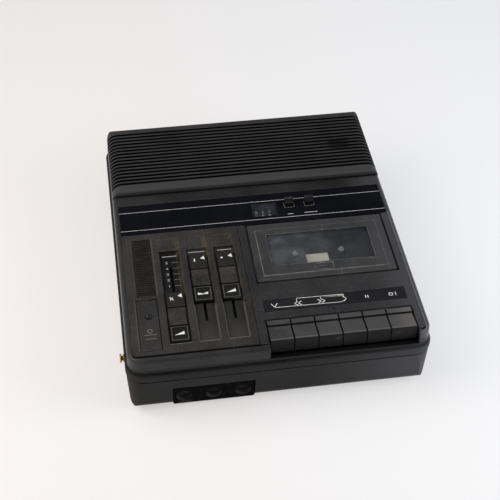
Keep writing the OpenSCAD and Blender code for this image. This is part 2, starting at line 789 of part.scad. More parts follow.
module indicator_plate() {
    color("#2a2a2b")
    difference() {
        rounded_box([lamp_plate_x0 + 0.2, lamp_plate_y0 + 0.2, deck_z - lamp_plate_t - 0.4],
            [lamp_plate_x0 + lamp_plate_w - 0.2, lamp_plate_y0 + lamp_plate_len - 0.2, deck_z - 0.4], 0.8);
        post(lamp_x, lamp_y, lamp_r + 0.2, deck_z - 2 * panel_t, deck_z + cut);
    }
}

module indicator_lamp() {
    color("#5a1512")
    translate([lamp_x, lamp_y, 0]) rotate_extrude() polygon(concat(
        [[0, panel_z - 4], [lamp_r + 1, panel_z - 4], [lamp_r + 1, panel_z], [lamp_r, panel_z]],
        arc([0, deck_z - 0.4], lamp_r, 0, 90)));
}

module symbol_strip() {
    color("#101114")
    box([lid_x0 + 0.6, symbol_y0 + 0.2, deck_z - symbol_t],
        [lid_x1 - 0.7, symbol_y0 + symbol_d - 0.2, deck_z]);
}

module lid_frame() {
    color("#2d2e30")
    difference() {
        union() {
            difference() {
                rounded_box([lid_x0, lid_y0, lid_z0], [lid_x1, lid_axis_y + 4, deck_z], 4);
                box([lid_x0 - cut, lid_axis_y, lid_z0 - cut], [lid_x1 + cut, lid_y1 + 9, deck_z + cut]);
            }
            rounded_box([window_x0 - 9, window_y0 - 11, deck_z - 0.5],
                [window_x0 + window_w + 9, window_y1 + 7, deck_z + lid_plateau], 3);
            rod_x([lid_x0, lid_axis_y, lid_axis_z], barrel_r, lid_w);
            // squared heel that closes the gap to the fascia strip
            prism_x(lid_x0, lid_x1, concat(
                [[lid_axis_y - 1, lid_axis_z], [lid_axis_y + lid_heel, lid_axis_z]],
                arc([lid_axis_y + lid_heel - heel_r, deck_z - heel_r], heel_r, 0, 90, 4),
                [[lid_axis_y - 1, deck_z]]));
            // catch below the front edge
            prism_x(tape_x - 6, tape_x + 6, [[lid_y0 + 2, lid_z0 + 0.5], [lid_y0 + 2, lid_z0 - 1.2],
                [lid_y0 + 0.8, lid_z0 - 1.8], [lid_y0 + 3, lid_z0 - 2.8], [lid_y0 + 4, lid_z0 + 0.5]]);
        }
        box([window_x0, window_y0, lid_z0 - cut], [window_x0 + window_w, window_y1, deck_z + 2]);
        box([window_x0 - window_lip, window_y0 - window_lip, lid_z0 - cut],
            [window_x0 + window_w + window_lip, window_y1 + window_lip, lid_z0 + window_t]);
        // outline of the small tile in front of the window
        difference() {
            box([tape_x - 8.5, window_y0 - 10, deck_z + 0.2], [tape_x + 8.5, window_y0 - 1.6, deck_z + 2]);
            box([tape_x - 8, window_y0 - 9.5, deck_z - 1], [tape_x + 8, window_y0 - 2.1, deck_z + 3]);
        }
        rod_x([lid_x0 - cut, lid_axis_y, lid_axis_z], lid_pin_r + shaft_gap, lid_w + 2 * cut);
    }
}

module lid_window() {
    color([0.25, 0.27, 0.32, 0.5])
    box([window_x0 - window_lip + 0.1, window_y0 - window_lip + 0.1, lid_z0],
        [window_x0 + window_w + window_lip - 0.1, window_y1 + window_lip - 0.1, lid_z0 + window_t]);
}

module lid_hinge_pin() {
    color("#9a9ca0")
    rod_x([lid_x0 - move_gap - ear_w, lid_axis_y, lid_axis_z], lid_pin_r,
        lid_w + 2 * move_gap + ear_w + 1.4);
}

// One piano key: a hollow cap on a lever that turns on the axle
module key(i) {
    x0 = key_x0(i) + move_gap / 2;
    x1 = key_x1(i) - move_gap / 2;
    xc = (x0 + x1) / 2;
    rear = key_y1 - move_gap;
    lip = rear - key_lip_d;
    top = deck_z + key_rise;
    color("#343537")
    difference() {
        union() {
            prism_x(x0, x1, concat([[rear, key_foot_z + 2], [rear, deck_z + 0.6], [rear - 0.8, deck_z + 1.2],
                [lip + 0.6, deck_z + 1.2], [lip, deck_z + 0.8], [lip, deck_z - 0.3]],
                arc([key_y0 + 1.5, top - 1.5], 1.5, 80, 170),
                [[key_y0 - 1.1, key_foot_z], [key_y0 + 2, key_foot_z]]));
            prism_x(xc - 4, xc + 4, [[lip, key_foot_z + 2], [rear - 1, key_foot_z + 1],
                [key_axle_y, key_axle_z - 3], [key_axle_y, key_axle_z + 3], [rear - 1, key_foot_z + 6],
                [lip, key_foot_z + 8]]);
            rod_x([xc - 4, key_axle_y, key_axle_z], 3, 8);
        }
        difference() {
            prism_x(x0 + key_skin, x1 - key_skin, [[rear - key_skin, key_foot_z - 4],
                [rear - key_skin, deck_z - 2], [lip - key_skin, deck_z - 2], [key_y0 + 2.5, top - 3],
                [key_y0 + 0.8, key_foot_z - 4]]);
            box([xc - 4, key_y0, key_foot_z], [xc + 4, rear, deck_z]);
        }
        rod_x([x0, key_axle_y, key_axle_z], key_axle_r + shaft_gap, x1 - x0);
    }
}

module record_key() { key(0); }
module rewind_key() { key(1); }
module forward_key() { key(2); }
module play_key() { key(3); }
module pause_key() { key(4); }
module stop_key() { key(5); }

module key_axle() {
    color("#9a9ca0")
    rod_x([lid_x0 - 2, key_axle_y, key_axle_z], key_axle_r, lid_w + 4);
}

// Rounded top of one tile of a knob, from its front to its rear
function tile_top(y0, y1, top, r) =
    concat(arc([y0 + r, top - r], r, 180, 90, 4), arc([y1 - r, top - r], r, 90, 0, 4));

// A slider knob in three tiles, on a stem that reaches into its potentiometer
module knob(i, y) {
    x = lane_x(i);
    z0 = lane_z + slide_gap;
    top = deck_z + knob_rise;
    front = y - knob_len / 2;
    rear = y + knob_len / 2;
    grip = grip_share * knob_len / 2;
    joint_d = 0.9;
    joint_z = top - 1.7;
    frame_w = 2.3;
    grip_r = 50;
    color("#2c2d2e") {
        difference() {
            intersection() {
                prism_x(x - knob_w, x + knob_w, concat([[front, z0]],
                    tile_top(front, y - grip - joint_d / 2, top, 1.1),
                    [[y - grip - joint_d / 2, joint_z], [y - grip + joint_d / 2, joint_z]],
                    tile_top(y - grip + joint_d / 2, y + grip - joint_d / 2, top, 0.5),
                    [[y + grip - joint_d / 2, joint_z], [y + grip + joint_d / 2, joint_z]],
                    tile_top(y + grip + joint_d / 2, rear, top, 0.8), [[rear, z0]]));
                rounded_box([x - knob_w / 2, front, z0 - cut], [x + knob_w / 2, rear, top + cut], 1.2);
            }
            // hollow of the middle tile
            translate([x - knob_w, y, top + grip_r - 0.9]) rotate([0, 90, 0])
                cylinder(r = grip_r, h = 2 * knob_w, $fn = 160);
            // sunk field of the front tile
            box([x - knob_w / 2 + frame_w, front + frame_w, top - 0.7],
                [x + knob_w / 2 - frame_w, y - grip - frame_w, top + cut]);
        }
        box([x - slot_w / 2 + panel_gap, y - 2.5, pot_z0 + 2.5],
            [x + slot_w / 2 - panel_gap, y + 2.5, z0 + 1]);
    }
}

module volume_knob() { knob(0, knob_front_y); }
module tone_knob() { knob(1, knob_rear_y); }
module level_knob() { knob(2, knob_rear_y); }

module slide_potentiometers() {
    color("#6d6f72")
    for (i = [0:2])
        difference() {
            box([lane_x(i) - pot_r, slot_y0 - 4, pot_z0],
                [lane_x(i) + pot_r, slot_y0 + slot_len + 4, lane_z - lane_floor_t]);
            box([lane_x(i) - slot_w / 2, slot_y0, pot_z0 + 1.5],
                [lane_x(i) + slot_w / 2, slot_y0 + slot_len, panel_z]);
        }
}

// Sub-frame under the fascia strip: the counter's cradle and the boxes of the two switches
module counter_frame() {
    x0 = counter_x0 - 0.5;
    x1 = counter_x0 + counter_w + 0.5;
    y0 = counter_y0 - 1;
    y1 = counter_y0 + counter_d + 1;
    switch_r = button_w / 2 + button_flange + move_gap;
    switch_h = button_travel + 5.5;
    color("#1d1e20")
    difference() {
        union() {
            box([x0, y0, wheel_z - wheel_r - 2], [x1, y1, panel_z]);
            for (i = [0, 1])
                translate([button_x0 + i * button_pitch, button_y, panel_z - switch_h / 2])
                    cube([2 * switch_r + 2.4, 2 * switch_r + 2.4, switch_h], center = true);
            box([x1 - cut, button_y - 4, panel_z - 2], [button_x0 + button_pitch, button_y + 4, panel_z]);
        }
        box([x0 + 1.5, y0 + 1.5, wheel_z - wheel_r - 0.6], [x1 - 1.5, y1 - 1.5, panel_z + cut]);
        for (i = [0, 1])
            translate([button_x0 + i * button_pitch - switch_r, button_y - switch_r,
                panel_z - 2 - button_travel - 0.6]) cube(2 * switch_r);
        rod_x([x0 - cut, wheel_y, wheel_z], counter_pin_r + shaft_gap / 2, x1 - x0 + 2 * cut);
    }
}

module counter_window() {
    color([0.3, 0.33, 0.4, 0.5])
    box([counter_x0 + 0.1, counter_y0 + 0.1, deck_z - counter_lens_t],
        [counter_x0 + counter_w - 0.1, counter_y0 + counter_d - 0.1, deck_z - 0.1]);
}

module counter_shaft() {
    color("#9a9ca0")
    rod_x([counter_x0 - 0.5, wheel_y, wheel_z], counter_pin_r, counter_w + 1);
}

module counter_wheel(i) {
    color("#1a1b1d")
    translate([wheel_x0 + i * wheel_pitch - wheel_pitch / 2 + 0.3, wheel_y, wheel_z]) rotate([0, 90, 0])
        rotate_extrude() polygon([[counter_pin_r + shaft_gap, 0], [2.6, 0], [2.6, 0.8], [5.4, 0.8], [5.4, 0],
            [wheel_r, 0], [wheel_r, wheel_pitch - 0.6], [counter_pin_r + shaft_gap, wheel_pitch - 0.6]]);
}

module counter_wheel_hundreds() { counter_wheel(0); }
module counter_wheel_tens() { counter_wheel(1); }
module counter_wheel_ones() { counter_wheel(2); }

// A square push button with a sloped front, kept in by a flange under the strip
module button(i) {
    x = button_x0 + i * button_pitch;
    r = button_w / 2;
    top = deck_z + button_rise;
    color("#151517") {
        prism_x(x - r, x + r, [[button_y - r, panel_z - 1], [button_y - r, top - 1.6],
            [button_y - r + 2.4, top], [button_y + r - 0.6, top], [button_y + r, top - 0.6],
            [button_y + r, panel_z - 1]]);
        box([x - r - button_flange, button_y - r - button_flange, panel_z - 2],
            [x + r + button_flange, button_y + r + button_flange, panel_z - 0.4]);
    }
}

module reset_button() { button(0); }
module speaker_button() { button(1); }

module cassette_well() {
    flange_z0 = panel_z - flange_t;
    color("#232427")
    difference() {
        union() {
            // the rear wall stays below the lid's hinge
            box([well_x0 - well_t, well_y0 - well_t, chassis_z1],
                [well_x1 + well_t, well_y1 + well_t, flange_z0 - 1]);
            box([well_x0 - well_t, well_y0 - well_t, chassis_z1],
                [well_x1 + well_t, lid_axis_y - 5, panel_z]);
            box([lid_x0 - move_gap - flange_over, well_y0 - well_t, flange_z0],
                [lid_x1 + move_gap + flange_over, lid_axis_y - 5, panel_z]);
            for (x = [well_x0 - 6, well_x1 + 6], y = [lid_y0 + 10, lid_y1 - 18])
                post(x, y, 2.5, chassis_z1, flange_z0 + 0.5);
        }
        box([well_x0, well_y0, well_z], [well_x1, well_y1, panel_z + cut]);
        for (s = [-1, 1])
            post(tape_x + s * hub_pitch / 2, tape_y, 3, chassis_z1 - cut, well_z + cut);
        post(capstan_x, capstan_y, 6.5, chassis_z1 - cut, well_z + cut);
    }
}

module reflector() {
    color("#d8d3c0")
    rounded_box([tape_x - 10, tape_y - 7.2, well_z], [tape_x + 10, tape_y + 4.8, well_z + 1], 0.8);
}

module deck_chassis() {
    color("#8d9093")
    difference() {
        union() {
            box([well_x0 - 9, well_y0 - well_t, chassis_z0], [well_x1 + 9, well_y1 + well_t, chassis_z1]);
            box([lid_x0 - 2, key_axle_y - 5, chassis_z0], [lid_x1 + 2, well_y0 + 2, chassis_z1]);
            for (x = [lid_x0 - 2, lid_x1 + 0.5])
                box([x, key_axle_y - 4, chassis_z0], [x + 1.5, key_axle_y + 4, key_axle_z + 4]);
        }
        rod_x([lid_x0 - 3, key_axle_y, key_axle_z], key_axle_r + shaft_gap / 2, lid_w + 6);
        for (s = [-1, 1])
            post(tape_x + s * hub_pitch / 2, tape_y, 1.5 + shaft_gap, chassis_z0 - cut, chassis_z1 + cut);
        post(capstan_x, capstan_y, 4.05, chassis_z0 - cut, chassis_z1 + cut);
    }
}

// A reel spindle: shaft and pulley below the chassis, three fins and a tip in the well
module spindle(s) {
    color("#3a3b3d")
    translate([tape_x + s * hub_pitch / 2, tape_y, 0]) {
        rotate_extrude() polygon([[0, chassis_z0 - 4], [12, chassis_z0 - 4], [12, chassis_z0 - 3.2],
            [11, chassis_z0 - 2.5], [12, chassis_z0 - 1.8], [12, chassis_z0 - 1], [1.5, chassis_z0 - 1],
            [1.5, well_z + 0.4], [7.5, well_z + 0.4], [7.5, well_z + 1.6], [3, well_z + 1.6],
            [3, well_z + spindle_top - 3], [1.2, well_z + spindle_top], [0, well_z + spindle_top]]);
        for (a = [0:120:240])
            rotate(a) translate([2, -0.6, well_z + 1]) cube([2.6, 1.2, spindle_top - 4.5]);
    }
}

module supply_spindle() { spindle(-1); }
module takeup_spindle() { spindle(1); }

module capstan_flywheel() {
    z0 = flywheel_z1 - flywheel_t;
    color("#a9abae")
    translate([capstan_x, capstan_y, 0]) rotate_extrude() polygon([[0, z0 - 2], [3, z0 - 2], [3, z0], [9, z0],
        [9, z0 + 2], [flywheel_r - 7, z0 + 2], [flywheel_r - 7, z0], [flywheel_r, z0],
        [flywheel_r, flywheel_z1], [5, flywheel_z1], [5, flywheel_z1 + 1.4], [capstan_r, flywheel_z1 + 1.4],
        [capstan_r, well_z + 9.5], [0, well_z + 9.5]]);
}

module capstan_bearing() {
    color("#b08a45")
    translate([capstan_x, capstan_y, 0]) rotate_extrude() polygon([[capstan_r + shaft_gap, chassis_z0 - 6],
        [4, chassis_z0 - 6], [4, chassis_z1], [6, chassis_z1], [6, chassis_z1 + 1.4],
        [3, chassis_z1 + 1.4], [3, well_z + 3], [capstan_r + shaft_gap, well_z + 3]]);
}

// Thrust bracket under the flywheel, hung from the chassis between the belt's runs
module flywheel_bracket() {
    reach = flywheel_r + 2.2;
    z1 = flywheel_z1 - flywheel_t - 2.1;
    color("#9b9ea1") {
        box([capstan_x - reach - 2, capstan_y - 6, z1 - 2], [capstan_x + reach + 2, capstan_y + 6, z1]);
        for (x = [capstan_x - reach - 2, capstan_x + reach])
            box([x, capstan_y - 6, z1 - 2], [x + 2, capstan_y + 6, chassis_z0]);
    }
}

module head_bridge() {
    color("#9b9ea1")
    difference() {
        box([tape_x - 34, bridge_y0, bridge_z0], [tape_x + 38, bridge_y0 + bridge_d, bridge_z0 + bridge_t]);
        for (x = [tape_x - 29, tape_x + 8])
            rounded_box([x, bridge_y0 + 4, bridge_z0 - cut],
                [x + 3, bridge_y0 + 11, bridge_z0 + bridge_t + cut], 1.4);
    }
}

// A tape head: a block with a rounded nose towards the cassette
module head(x, w) {
    z0 = bridge_z0 + bridge_t;
    color("#b5b7ba") {
        box([x - w / 2, head_y0, z0], [x + w / 2, head_y0 + 9, z0 + 9]);
        translate([x, head_y0 + 9, z0 + 1]) intersection() {
            cylinder(r = w / 2 - 0.4, h = 7);
            translate([-w / 2, -1, 0]) cube([w, 4, 7]);
        }
    }
}

module tape_heads() {
    head(tape_x, 12);
    head(tape_x - 20, 8);
}

module pinch_arm() {
    z0 = bridge_z0 + bridge_t;
    color("#9b9ea1") {
        box([capstan_x - 4, bridge_y0 + 1, z0], [capstan_x + 4, pinch_y + 3, z0 + 1]);
        post(capstan_x, pinch_y, 1.5, z0, pinch_z0 + pinch_h + 0.8);
    }
}

module pinch_roller() {
    color("#1c1c1d")
    translate([capstan_x, pinch_y, pinch_z0])
    rotate_extrude() polygon([[1.5 + shaft_gap, 0], [pinch_r - 1, 0], [pinch_r, 0.6],
        [pinch_r, pinch_h - 0.6], [pinch_r - 1, pinch_h], [1.5 + shaft_gap, pinch_h]]);
}

module motor() {
    color("#8d9093")
    translate([motor_x, capstan_y, motor_z1 - motor_h]) difference() {
        union() {
            cylinder(r = motor_r, h = motor_h - 1.5);
            cylinder(r = motor_r - 2, h = motor_h);
        }
        translate([0, 0, motor_h - 6]) cylinder(r = 1 + shaft_gap, h = 6 + cut);
    }
}

module motor_pulley() {
    z0 = motor_z1 + 0.6;
    color("#b08a45")
    translate([motor_x, capstan_y, 0]) rotate_extrude() polygon([
        [0, motor_z1 - 5.5], [1, motor_z1 - 5.5], [1, z0],
        [pulley_r + 1, z0], [pulley_r + 1, belt_z - belt_h / 2 - 0.3], [pulley_r, belt_z - belt_h / 2 - 0.3],
        [pulley_r, belt_z + belt_h / 2 + 0.3], [pulley_r + 1, belt_z + belt_h / 2 + 0.3],
        [pulley_r + 1, belt_z + belt_h / 2 + 1], [0, belt_z + belt_h / 2 + 1]]);
}

// Outline of the belt's run, grown by t
module belt_run(t) {
    hull() {
        translate([motor_x, capstan_y]) circle(pulley_r + 0.3 + t, $fn = 32);
        translate([capstan_x, capstan_y]) circle(flywheel_r + 0.3 + t, $fn = 64);
    }
}

module drive_belt() {
    color("#161616")
    translate([0, 0, belt_z - belt_h / 2]) linear_extrude(belt_h) difference() {
        belt_run(belt_t);
        belt_run(0);
    }
}

module main_board() {
    top = board_z0 + board_t;
    color("#5d4a2c") {
        box([board_x0, board_y0, board_z0], [board_x1, board_y1, top]);
        // round capacitors at [share of width, share of depth, height]
        for (p = [[0.2, 0.2, 7], [0.35, 0.7, 6], [0.6, 0.3, 5], [0.75, 0.6, 7], [0.5, 0.85, 5]])
            post(board_x0 + p[0] * (board_x1 - board_x0), board_y0 + p[1] * (board_y1 - board_y0), 4,
                top, top + p[2]);
    }
}

module loudspeaker_frame() {
    top = deck_z + cap_under;
    yoke = 0.57 * speaker_h;
    color("#55575a")
    translate([speaker_x, grille_yc, top]) rotate_extrude() polygon([[speaker_r - 5, 0], [speaker_r, 0],
        [speaker_r, -2.5], [speaker_r - 2.5, -2.5], [magnet_r - 3, -yoke], [magnet_r, -yoke],
        [magnet_r, -speaker_h], [0, -speaker_h], [0, -yoke - 2], [magnet_r - 7, -yoke - 2],
        [speaker_r - 8, -2.5], [speaker_r - 8, -1.4], [speaker_r - 5, -1.4]]);
}

module loudspeaker_cone() {
    top = deck_z + cap_under;
    apex = 0.45 * speaker_h;
    cap_r = 0.21 * speaker_r;
    color("#1d1c1b")
    translate([speaker_x, grille_yc, top]) rotate_extrude() polygon([[speaker_r - 5.2, -1.4],
        [speaker_r - 5.2, -0.6], [speaker_r - 9, -0.6], [cap_r, -apex], [0, 1.5 - apex], [0, 0.5 - apex],
        [cap_r - 0.4, -apex - 1.1], [speaker_r - 9, -1.4]]);
}

module transformer() {
    x0 = bay_x0 + bay_w + 8;
    x1 = half_w - 18;
    y0 = bay_y0 - 4;
    y1 = y0 + 38;
    leg = 0.2 * (x1 - x0);
    color("#6a5c45") {
        box([x0, y0 + 8, floor_z], [x1, y1 - 8, floor_z + 38]);
        box([x0 + leg, y0, floor_z + 7], [x1 - leg, y1, floor_z + 31]);
    }
}

module mains_inlet() {
    color("#141415")
    difference() {
        union() {
            box([inlet_x - 11.8, inlet_y1 - 16, inlet_z - 8.8],
                [inlet_x + 11.8, inlet_y1 - 0.2, inlet_z + 8.8]);
            box([inlet_x - 15, inlet_y1 - 8, inlet_z - 12], [inlet_x + 15, inlet_y1 - 6, inlet_z + 12]);
        }
        difference() {
            translate([inlet_x, inlet_y1 - 12, inlet_z]) rotate([-90, 0, 0]) linear_extrude(14)
                plan(18, 9, 4.4);
            for (s = [-1, 1])
                translate([inlet_x + s * 4.3, inlet_y1 - 13, inlet_z]) rotate([-90, 0, 0])
                    cylinder(r = 1.2, h = 10);
        }
    }
}

// The socket plate and the bodies of three round sockets behind it
module din_sockets() {
    pin_ring = 3.6;
    color("#1b1b1c")
    difference() {
        union() {
            translate([recess_x0 + recess_w / 2, recess_y + plate_t, (plate_z0 + recess_h) / 2])
                rotate([90, 0, 0]) linear_extrude(plate_t)
                    plan(recess_w - panel_gap, recess_h - plate_z0 - panel_gap, 2);
            for (i = [0:2])
                translate([socket_x(i), recess_y, socket_z]) rotate([-90, 0, 0]) {
                    cylinder(r = socket_r + socket_wall, h = socket_body);
                    translate([-10, -5.5, plate_t + recess_wall]) cube([20, 11, 1.5]);
                }
        }
        for (i = [0:2])
            translate([socket_x(i), recess_y, socket_z]) rotate([-90, 0, 0]) {
                translate([0, 0, -cut]) cylinder(r = socket_r, h = socket_depth + cut);
                for (a = [0:45:180])
                    rotate(a) translate([pin_ring, 0, socket_depth - cut]) cylinder(r = 0.8, h = 5);
            }
    }
}

module battery_door() {
    y0 = door_y0 + panel_gap;
    color("#2b2c2e")
    intersection() {
        union() {
            box([door_x0 + panel_gap, y0, foot_h], [door_x1 - panel_gap, half_d, foot_h + door_t]);
            box([door_x0 - door_tongue, y0 + 2, foot_h + 1.2],
                [door_x1 + door_tongue, bay_y1 - 2, foot_h + door_t]);
        }
        difference() {
            bottom_form(0, rim_z);
            for (i = [0:5])
                box([bay_x0 + bay_w / 2 - 12, bay_y1 - 14 + 2.4 * i, 0],
                    [bay_x0 + bay_w / 2 + 12, bay_y1 - 12.8 + 2.4 * i, foot_h + 0.6]);
        }
    }
}

// Contact plates on the two end walls of the battery bay
module battery_contacts() {
    color("#b5b7ba")
    for (k = [0:2], side = [0, 1])
        translate([bay_x0 + side * bay_w, bay_y0 + (k + 0.5) * bay_d / 3, floor_z + bay_h / 2])
            rotate([0, 90 - 180 * side, 0]) {
                translate([-8, -6.5, 0]) cube([16, 13, 0.6]);
                cylinder(r = 3, h = 2.4);
            }
}

module strap_stud() {
    color("#b08d45")
    translate([-half_w, stud_y, band_z + band_h / 2]) rotate([0, -90, 0])
        rotate_extrude() polygon([[0, 0.5 - band_t], [stud_pin_r, 0.5 - band_t], [stud_pin_r, 0],
            [0.85 * stud_r, 0], [0.85 * stud_r, 0.6], [0.5 * stud_r, 1], [0.5 * stud_r, stud_out - 1.8],
            [stud_r, stud_out - 1.2], [stud_r, stud_out - 0.5], [stud_r - 0.5, stud_out], [0, stud_out]]);
}

module rubber_feet() {
    color("#1a1a1a")
    for (x = [-foot_x, foot_x], y = [-foot_y, foot_y])
        translate([x, y, 0]) cylinder(r1 = foot_r - 0.8, r2 = foot_r, h = foot_h);
}

module case_screws() {
    color("#8f9194")
    for (s = SCREWS)
        translate([s[0], s[1], foot_h + screw_seat]) difference() {
            union() {
                translate([0, 0, -2]) cylinder(r = screw_head_r, h = 2);
                cylinder(r = screw_r - 0.15, h = panel_z - 6 - foot_h - screw_seat);
            }
            translate([-2, -0.4, -2 - cut]) cube([4, 0.8, cut + 1]);
            translate([-0.4, -2, -2 - cut]) cube([0.8, 4, cut + 1]);
        }
}

bottom_shell();
middle_frame();
upper_shell();
grille_cover();
fascia_strip();
control_panel();
deck_panel();
mic_louvre();
microphone();
indicator_plate();
indicator_lamp();
symbol_strip();
lid_frame();
lid_window();
lid_hinge_pin();
record_key();
rewind_key();
forward_key();
play_key();
pause_key();
stop_key();
key_axle();
volume_knob();
tone_knob();
level_knob();
slide_potentiometers();
counter_frame();
counter_window();
counter_shaft();
counter_wheel_ones();
counter_wheel_tens();
counter_wheel_hundreds();
reset_button();
speaker_button();
cassette_well();
reflector();
deck_chassis();
supply_spindle();
takeup_spindle();
capstan_flywheel();
capstan_bearing();
flywheel_bracket();
head_bridge();
tape_heads();
pinch_arm();
pinch_roller();
motor();
motor_pulley();
drive_belt();
main_board();
loudspeaker_frame();
loudspeaker_cone();
transformer();
mains_inlet();
din_sockets();
battery_door();
battery_contacts();
strap_stud();
rubber_feet();
case_screws();
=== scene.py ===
# Portable cassette recorder: finishes, printed marks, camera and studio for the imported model
import math
import bmesh
import bpy
from mathutils import Matrix, Vector


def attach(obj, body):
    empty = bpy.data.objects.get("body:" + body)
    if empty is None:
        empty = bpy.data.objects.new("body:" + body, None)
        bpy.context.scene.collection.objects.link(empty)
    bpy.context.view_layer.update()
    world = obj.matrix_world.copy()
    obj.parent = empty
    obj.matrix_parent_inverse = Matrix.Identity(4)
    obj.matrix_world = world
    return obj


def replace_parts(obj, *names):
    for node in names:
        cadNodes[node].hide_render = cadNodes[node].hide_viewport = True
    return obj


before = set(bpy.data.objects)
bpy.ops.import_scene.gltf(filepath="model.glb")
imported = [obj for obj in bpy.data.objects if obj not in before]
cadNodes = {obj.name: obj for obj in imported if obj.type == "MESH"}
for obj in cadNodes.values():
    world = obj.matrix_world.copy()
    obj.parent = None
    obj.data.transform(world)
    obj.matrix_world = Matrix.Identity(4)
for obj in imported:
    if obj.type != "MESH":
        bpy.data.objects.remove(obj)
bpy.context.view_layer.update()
print("frame loaded with", len(cadNodes), "nodes")

mm = 0.001

# camera, set as in the photograph
viewpoint = {"place": (-124.75, -759.2, 781.3), "azimuth": -8.97, "elevation": 44.10, "roll": -0.854,
             "focal": 82.6, "sensor": 36, "clip": (0.05, 20)}


def makeCamera():
    a, e, r = (math.radians(viewpoint[k]) for k in ("azimuth", "elevation", "roll"))
    ahead = Vector((-math.sin(a) * math.cos(e), math.cos(a) * math.cos(e), -math.sin(e)))
    level = Vector((math.cos(a), math.sin(a), 0))
    right = level * math.cos(r) + ahead.cross(level) * math.sin(r)
    up = -ahead.cross(right)
    data = bpy.data.cameras.new("photoCamera")
    data.lens = viewpoint["focal"]
    data.sensor_width = viewpoint["sensor"]
    data.clip_start, data.clip_end = viewpoint["clip"]
    camera = bpy.data.objects.new("photoCamera", data)
    rows = [(right[i], up[i], -ahead[i], viewpoint["place"][i] * mm) for i in range(3)]
    camera.matrix_world = Matrix(rows + [(0, 0, 0, 1)])
    bpy.context.scene.collection.objects.link(camera)
    bpy.context.scene.camera = camera


def addNode(tree, kind, settings=None, **values):
    node = tree.nodes.new(kind)
    for name, value in (settings or {}).items():
        setattr(node, name, value)
    for name, value in values.items():
        node.inputs[name.replace("_", " ")].default_value = value
    return node


def math2(tree, operation, a, b, clamp=False):
    node = addNode(tree, "ShaderNodeMath", {"operation": operation, "use_clamp": clamp})
    for socket, value in zip(node.inputs, (a, b)):
        if isinstance(value, (int, float)):
            socket.default_value = value
        else:
            tree.links.new(value, socket)
    return node.outputs[0]


def times(tree, a, b):
    return math2(tree, "MULTIPLY", a, b)


def larger(tree, a, b):
    return math2(tree, "MAXIMUM", a, b)


def minus(tree, a, b, clamp=False):
    return math2(tree, "SUBTRACT", a, b, clamp)


def ramp(tree, value, low, high, toLow=0.0, toHigh=1.0):
    node = addNode(tree, "ShaderNodeMapRange", {"interpolation_type": "SMOOTHSTEP"},
                   From_Min=low, From_Max=high, To_Min=toLow, To_Max=toHigh)
    tree.links.new(value, node.inputs["Value"])
    return node.outputs["Result"]


# ramp between two places in mm
def slope(tree, value, low, high, toLow=0.0, toHigh=1.0):
    return ramp(tree, value, low * mm, high * mm, toLow, toHigh)


def blendColour(tree, factor, under, over):
    node = addNode(tree, "ShaderNodeMix", {"data_type": "RGBA"})
    tree.links.new(factor, node.inputs["Factor"])
    for socket, value in ((node.inputs[6], under), (node.inputs[7], over)):
        if isinstance(value, tuple):
            socket.default_value = (*value, 1)
        else:
            tree.links.new(value, socket)
    return node.outputs[2]


# one colour laid over another where the mask says, at a given share
def lay(tree, colour, mask, over, share=1.0):
    if share < 1:
        mask = times(tree, mask, share)
    return blendColour(tree, mask, colour, over)


# coordinates along X, Y and Z
def placeAxes(tree, kind="Object"):
    split = addNode(tree, "ShaderNodeSeparateXYZ")
    tree.links.new(addNode(tree, "ShaderNodeTexCoord").outputs[kind], split.inputs[0])
    return split.outputs


# distance to either side of a place in mm
def aside(tree, value, place):
    return math2(tree, "ABSOLUTE", minus(tree, value, place * mm), 0.0)


# mask that is 1 between two places in mm and fades outside them
def between(tree, value, low, high, soft=0.2):
    return times(tree, slope(tree, value, low - soft, low), slope(tree, value, high, high + soft, 1.0, 0.0))


# the same to both sides of one place
def stripe(tree, value, place, reach, soft):
    return between(tree, value, place - reach, place + reach, soft)


# the same for a rectangle given as left, right, front and rear
def inside(tree, x, y, area, soft=0.2):
    return times(tree, between(tree, x, *area[:2], soft), between(tree, y, *area[2:], soft))


# a line of given width round such a rectangle
def outline(tree, x, y, area, width, soft):
    left, right, near, far = area
    grown = inside(tree, x, y, (left - width, right + width, near - width, far + width), soft)
    return minus(tree, grown, inside(tree, x, y, area, soft), True)


def newGroup(name, inputs, outputs):
    group = bpy.data.node_groups.new(name, "ShaderNodeTree")
    for label, start in inputs.items():
        socket = group.interface.new_socket(label, in_out="INPUT", socket_type="NodeSocketFloat")
        socket.default_value = start
    for label in outputs:
        group.interface.new_socket(label, in_out="OUTPUT", socket_type="NodeSocketFloat")
    return group, group.nodes.new("NodeGroupInput"), group.nodes.new("NodeGroupOutput")


# object-space noise whose scale is an input of the group
def groupNoise(group, scale, detail, roughness):
    noise = addNode(group, "ShaderNodeTexNoise", Detail=detail, Roughness=roughness)
    group.links.new(addNode(group, "ShaderNodeTexCoord").outputs["Object"], noise.inputs["Vector"])
    group.links.new(scale, noise.inputs["Scale"])
    return noise.outputs["Fac"]


grainLook = {"pits": (0.32, 0.68), "mottle": (0.3, 0.7)}


# spark-eroded mould grain: fine pits over a slow waviness
def makeGrainGroup():
    group, given, out = newGroup("mouldGrain", {"Scale": 1500.0, "Mottle Scale": 40.0}, ["Height", "Mottle"])
    pits = groupNoise(group, given.outputs["Scale"], detail=2.0, roughness=0.6)
    slow = groupNoise(group, given.outputs["Mottle Scale"], detail=5.0, roughness=0.62)
    group.links.new(ramp(group, pits, *grainLook["pits"]), out.inputs["Height"])
    group.links.new(ramp(group, slow, *grainLook["mottle"]), out.inputs["Mottle"])
    return group


edgeLook = {"samples": 6, "turn": (0.01, 0.22), "chips": (0.35, 0.68), "least": 0.25}


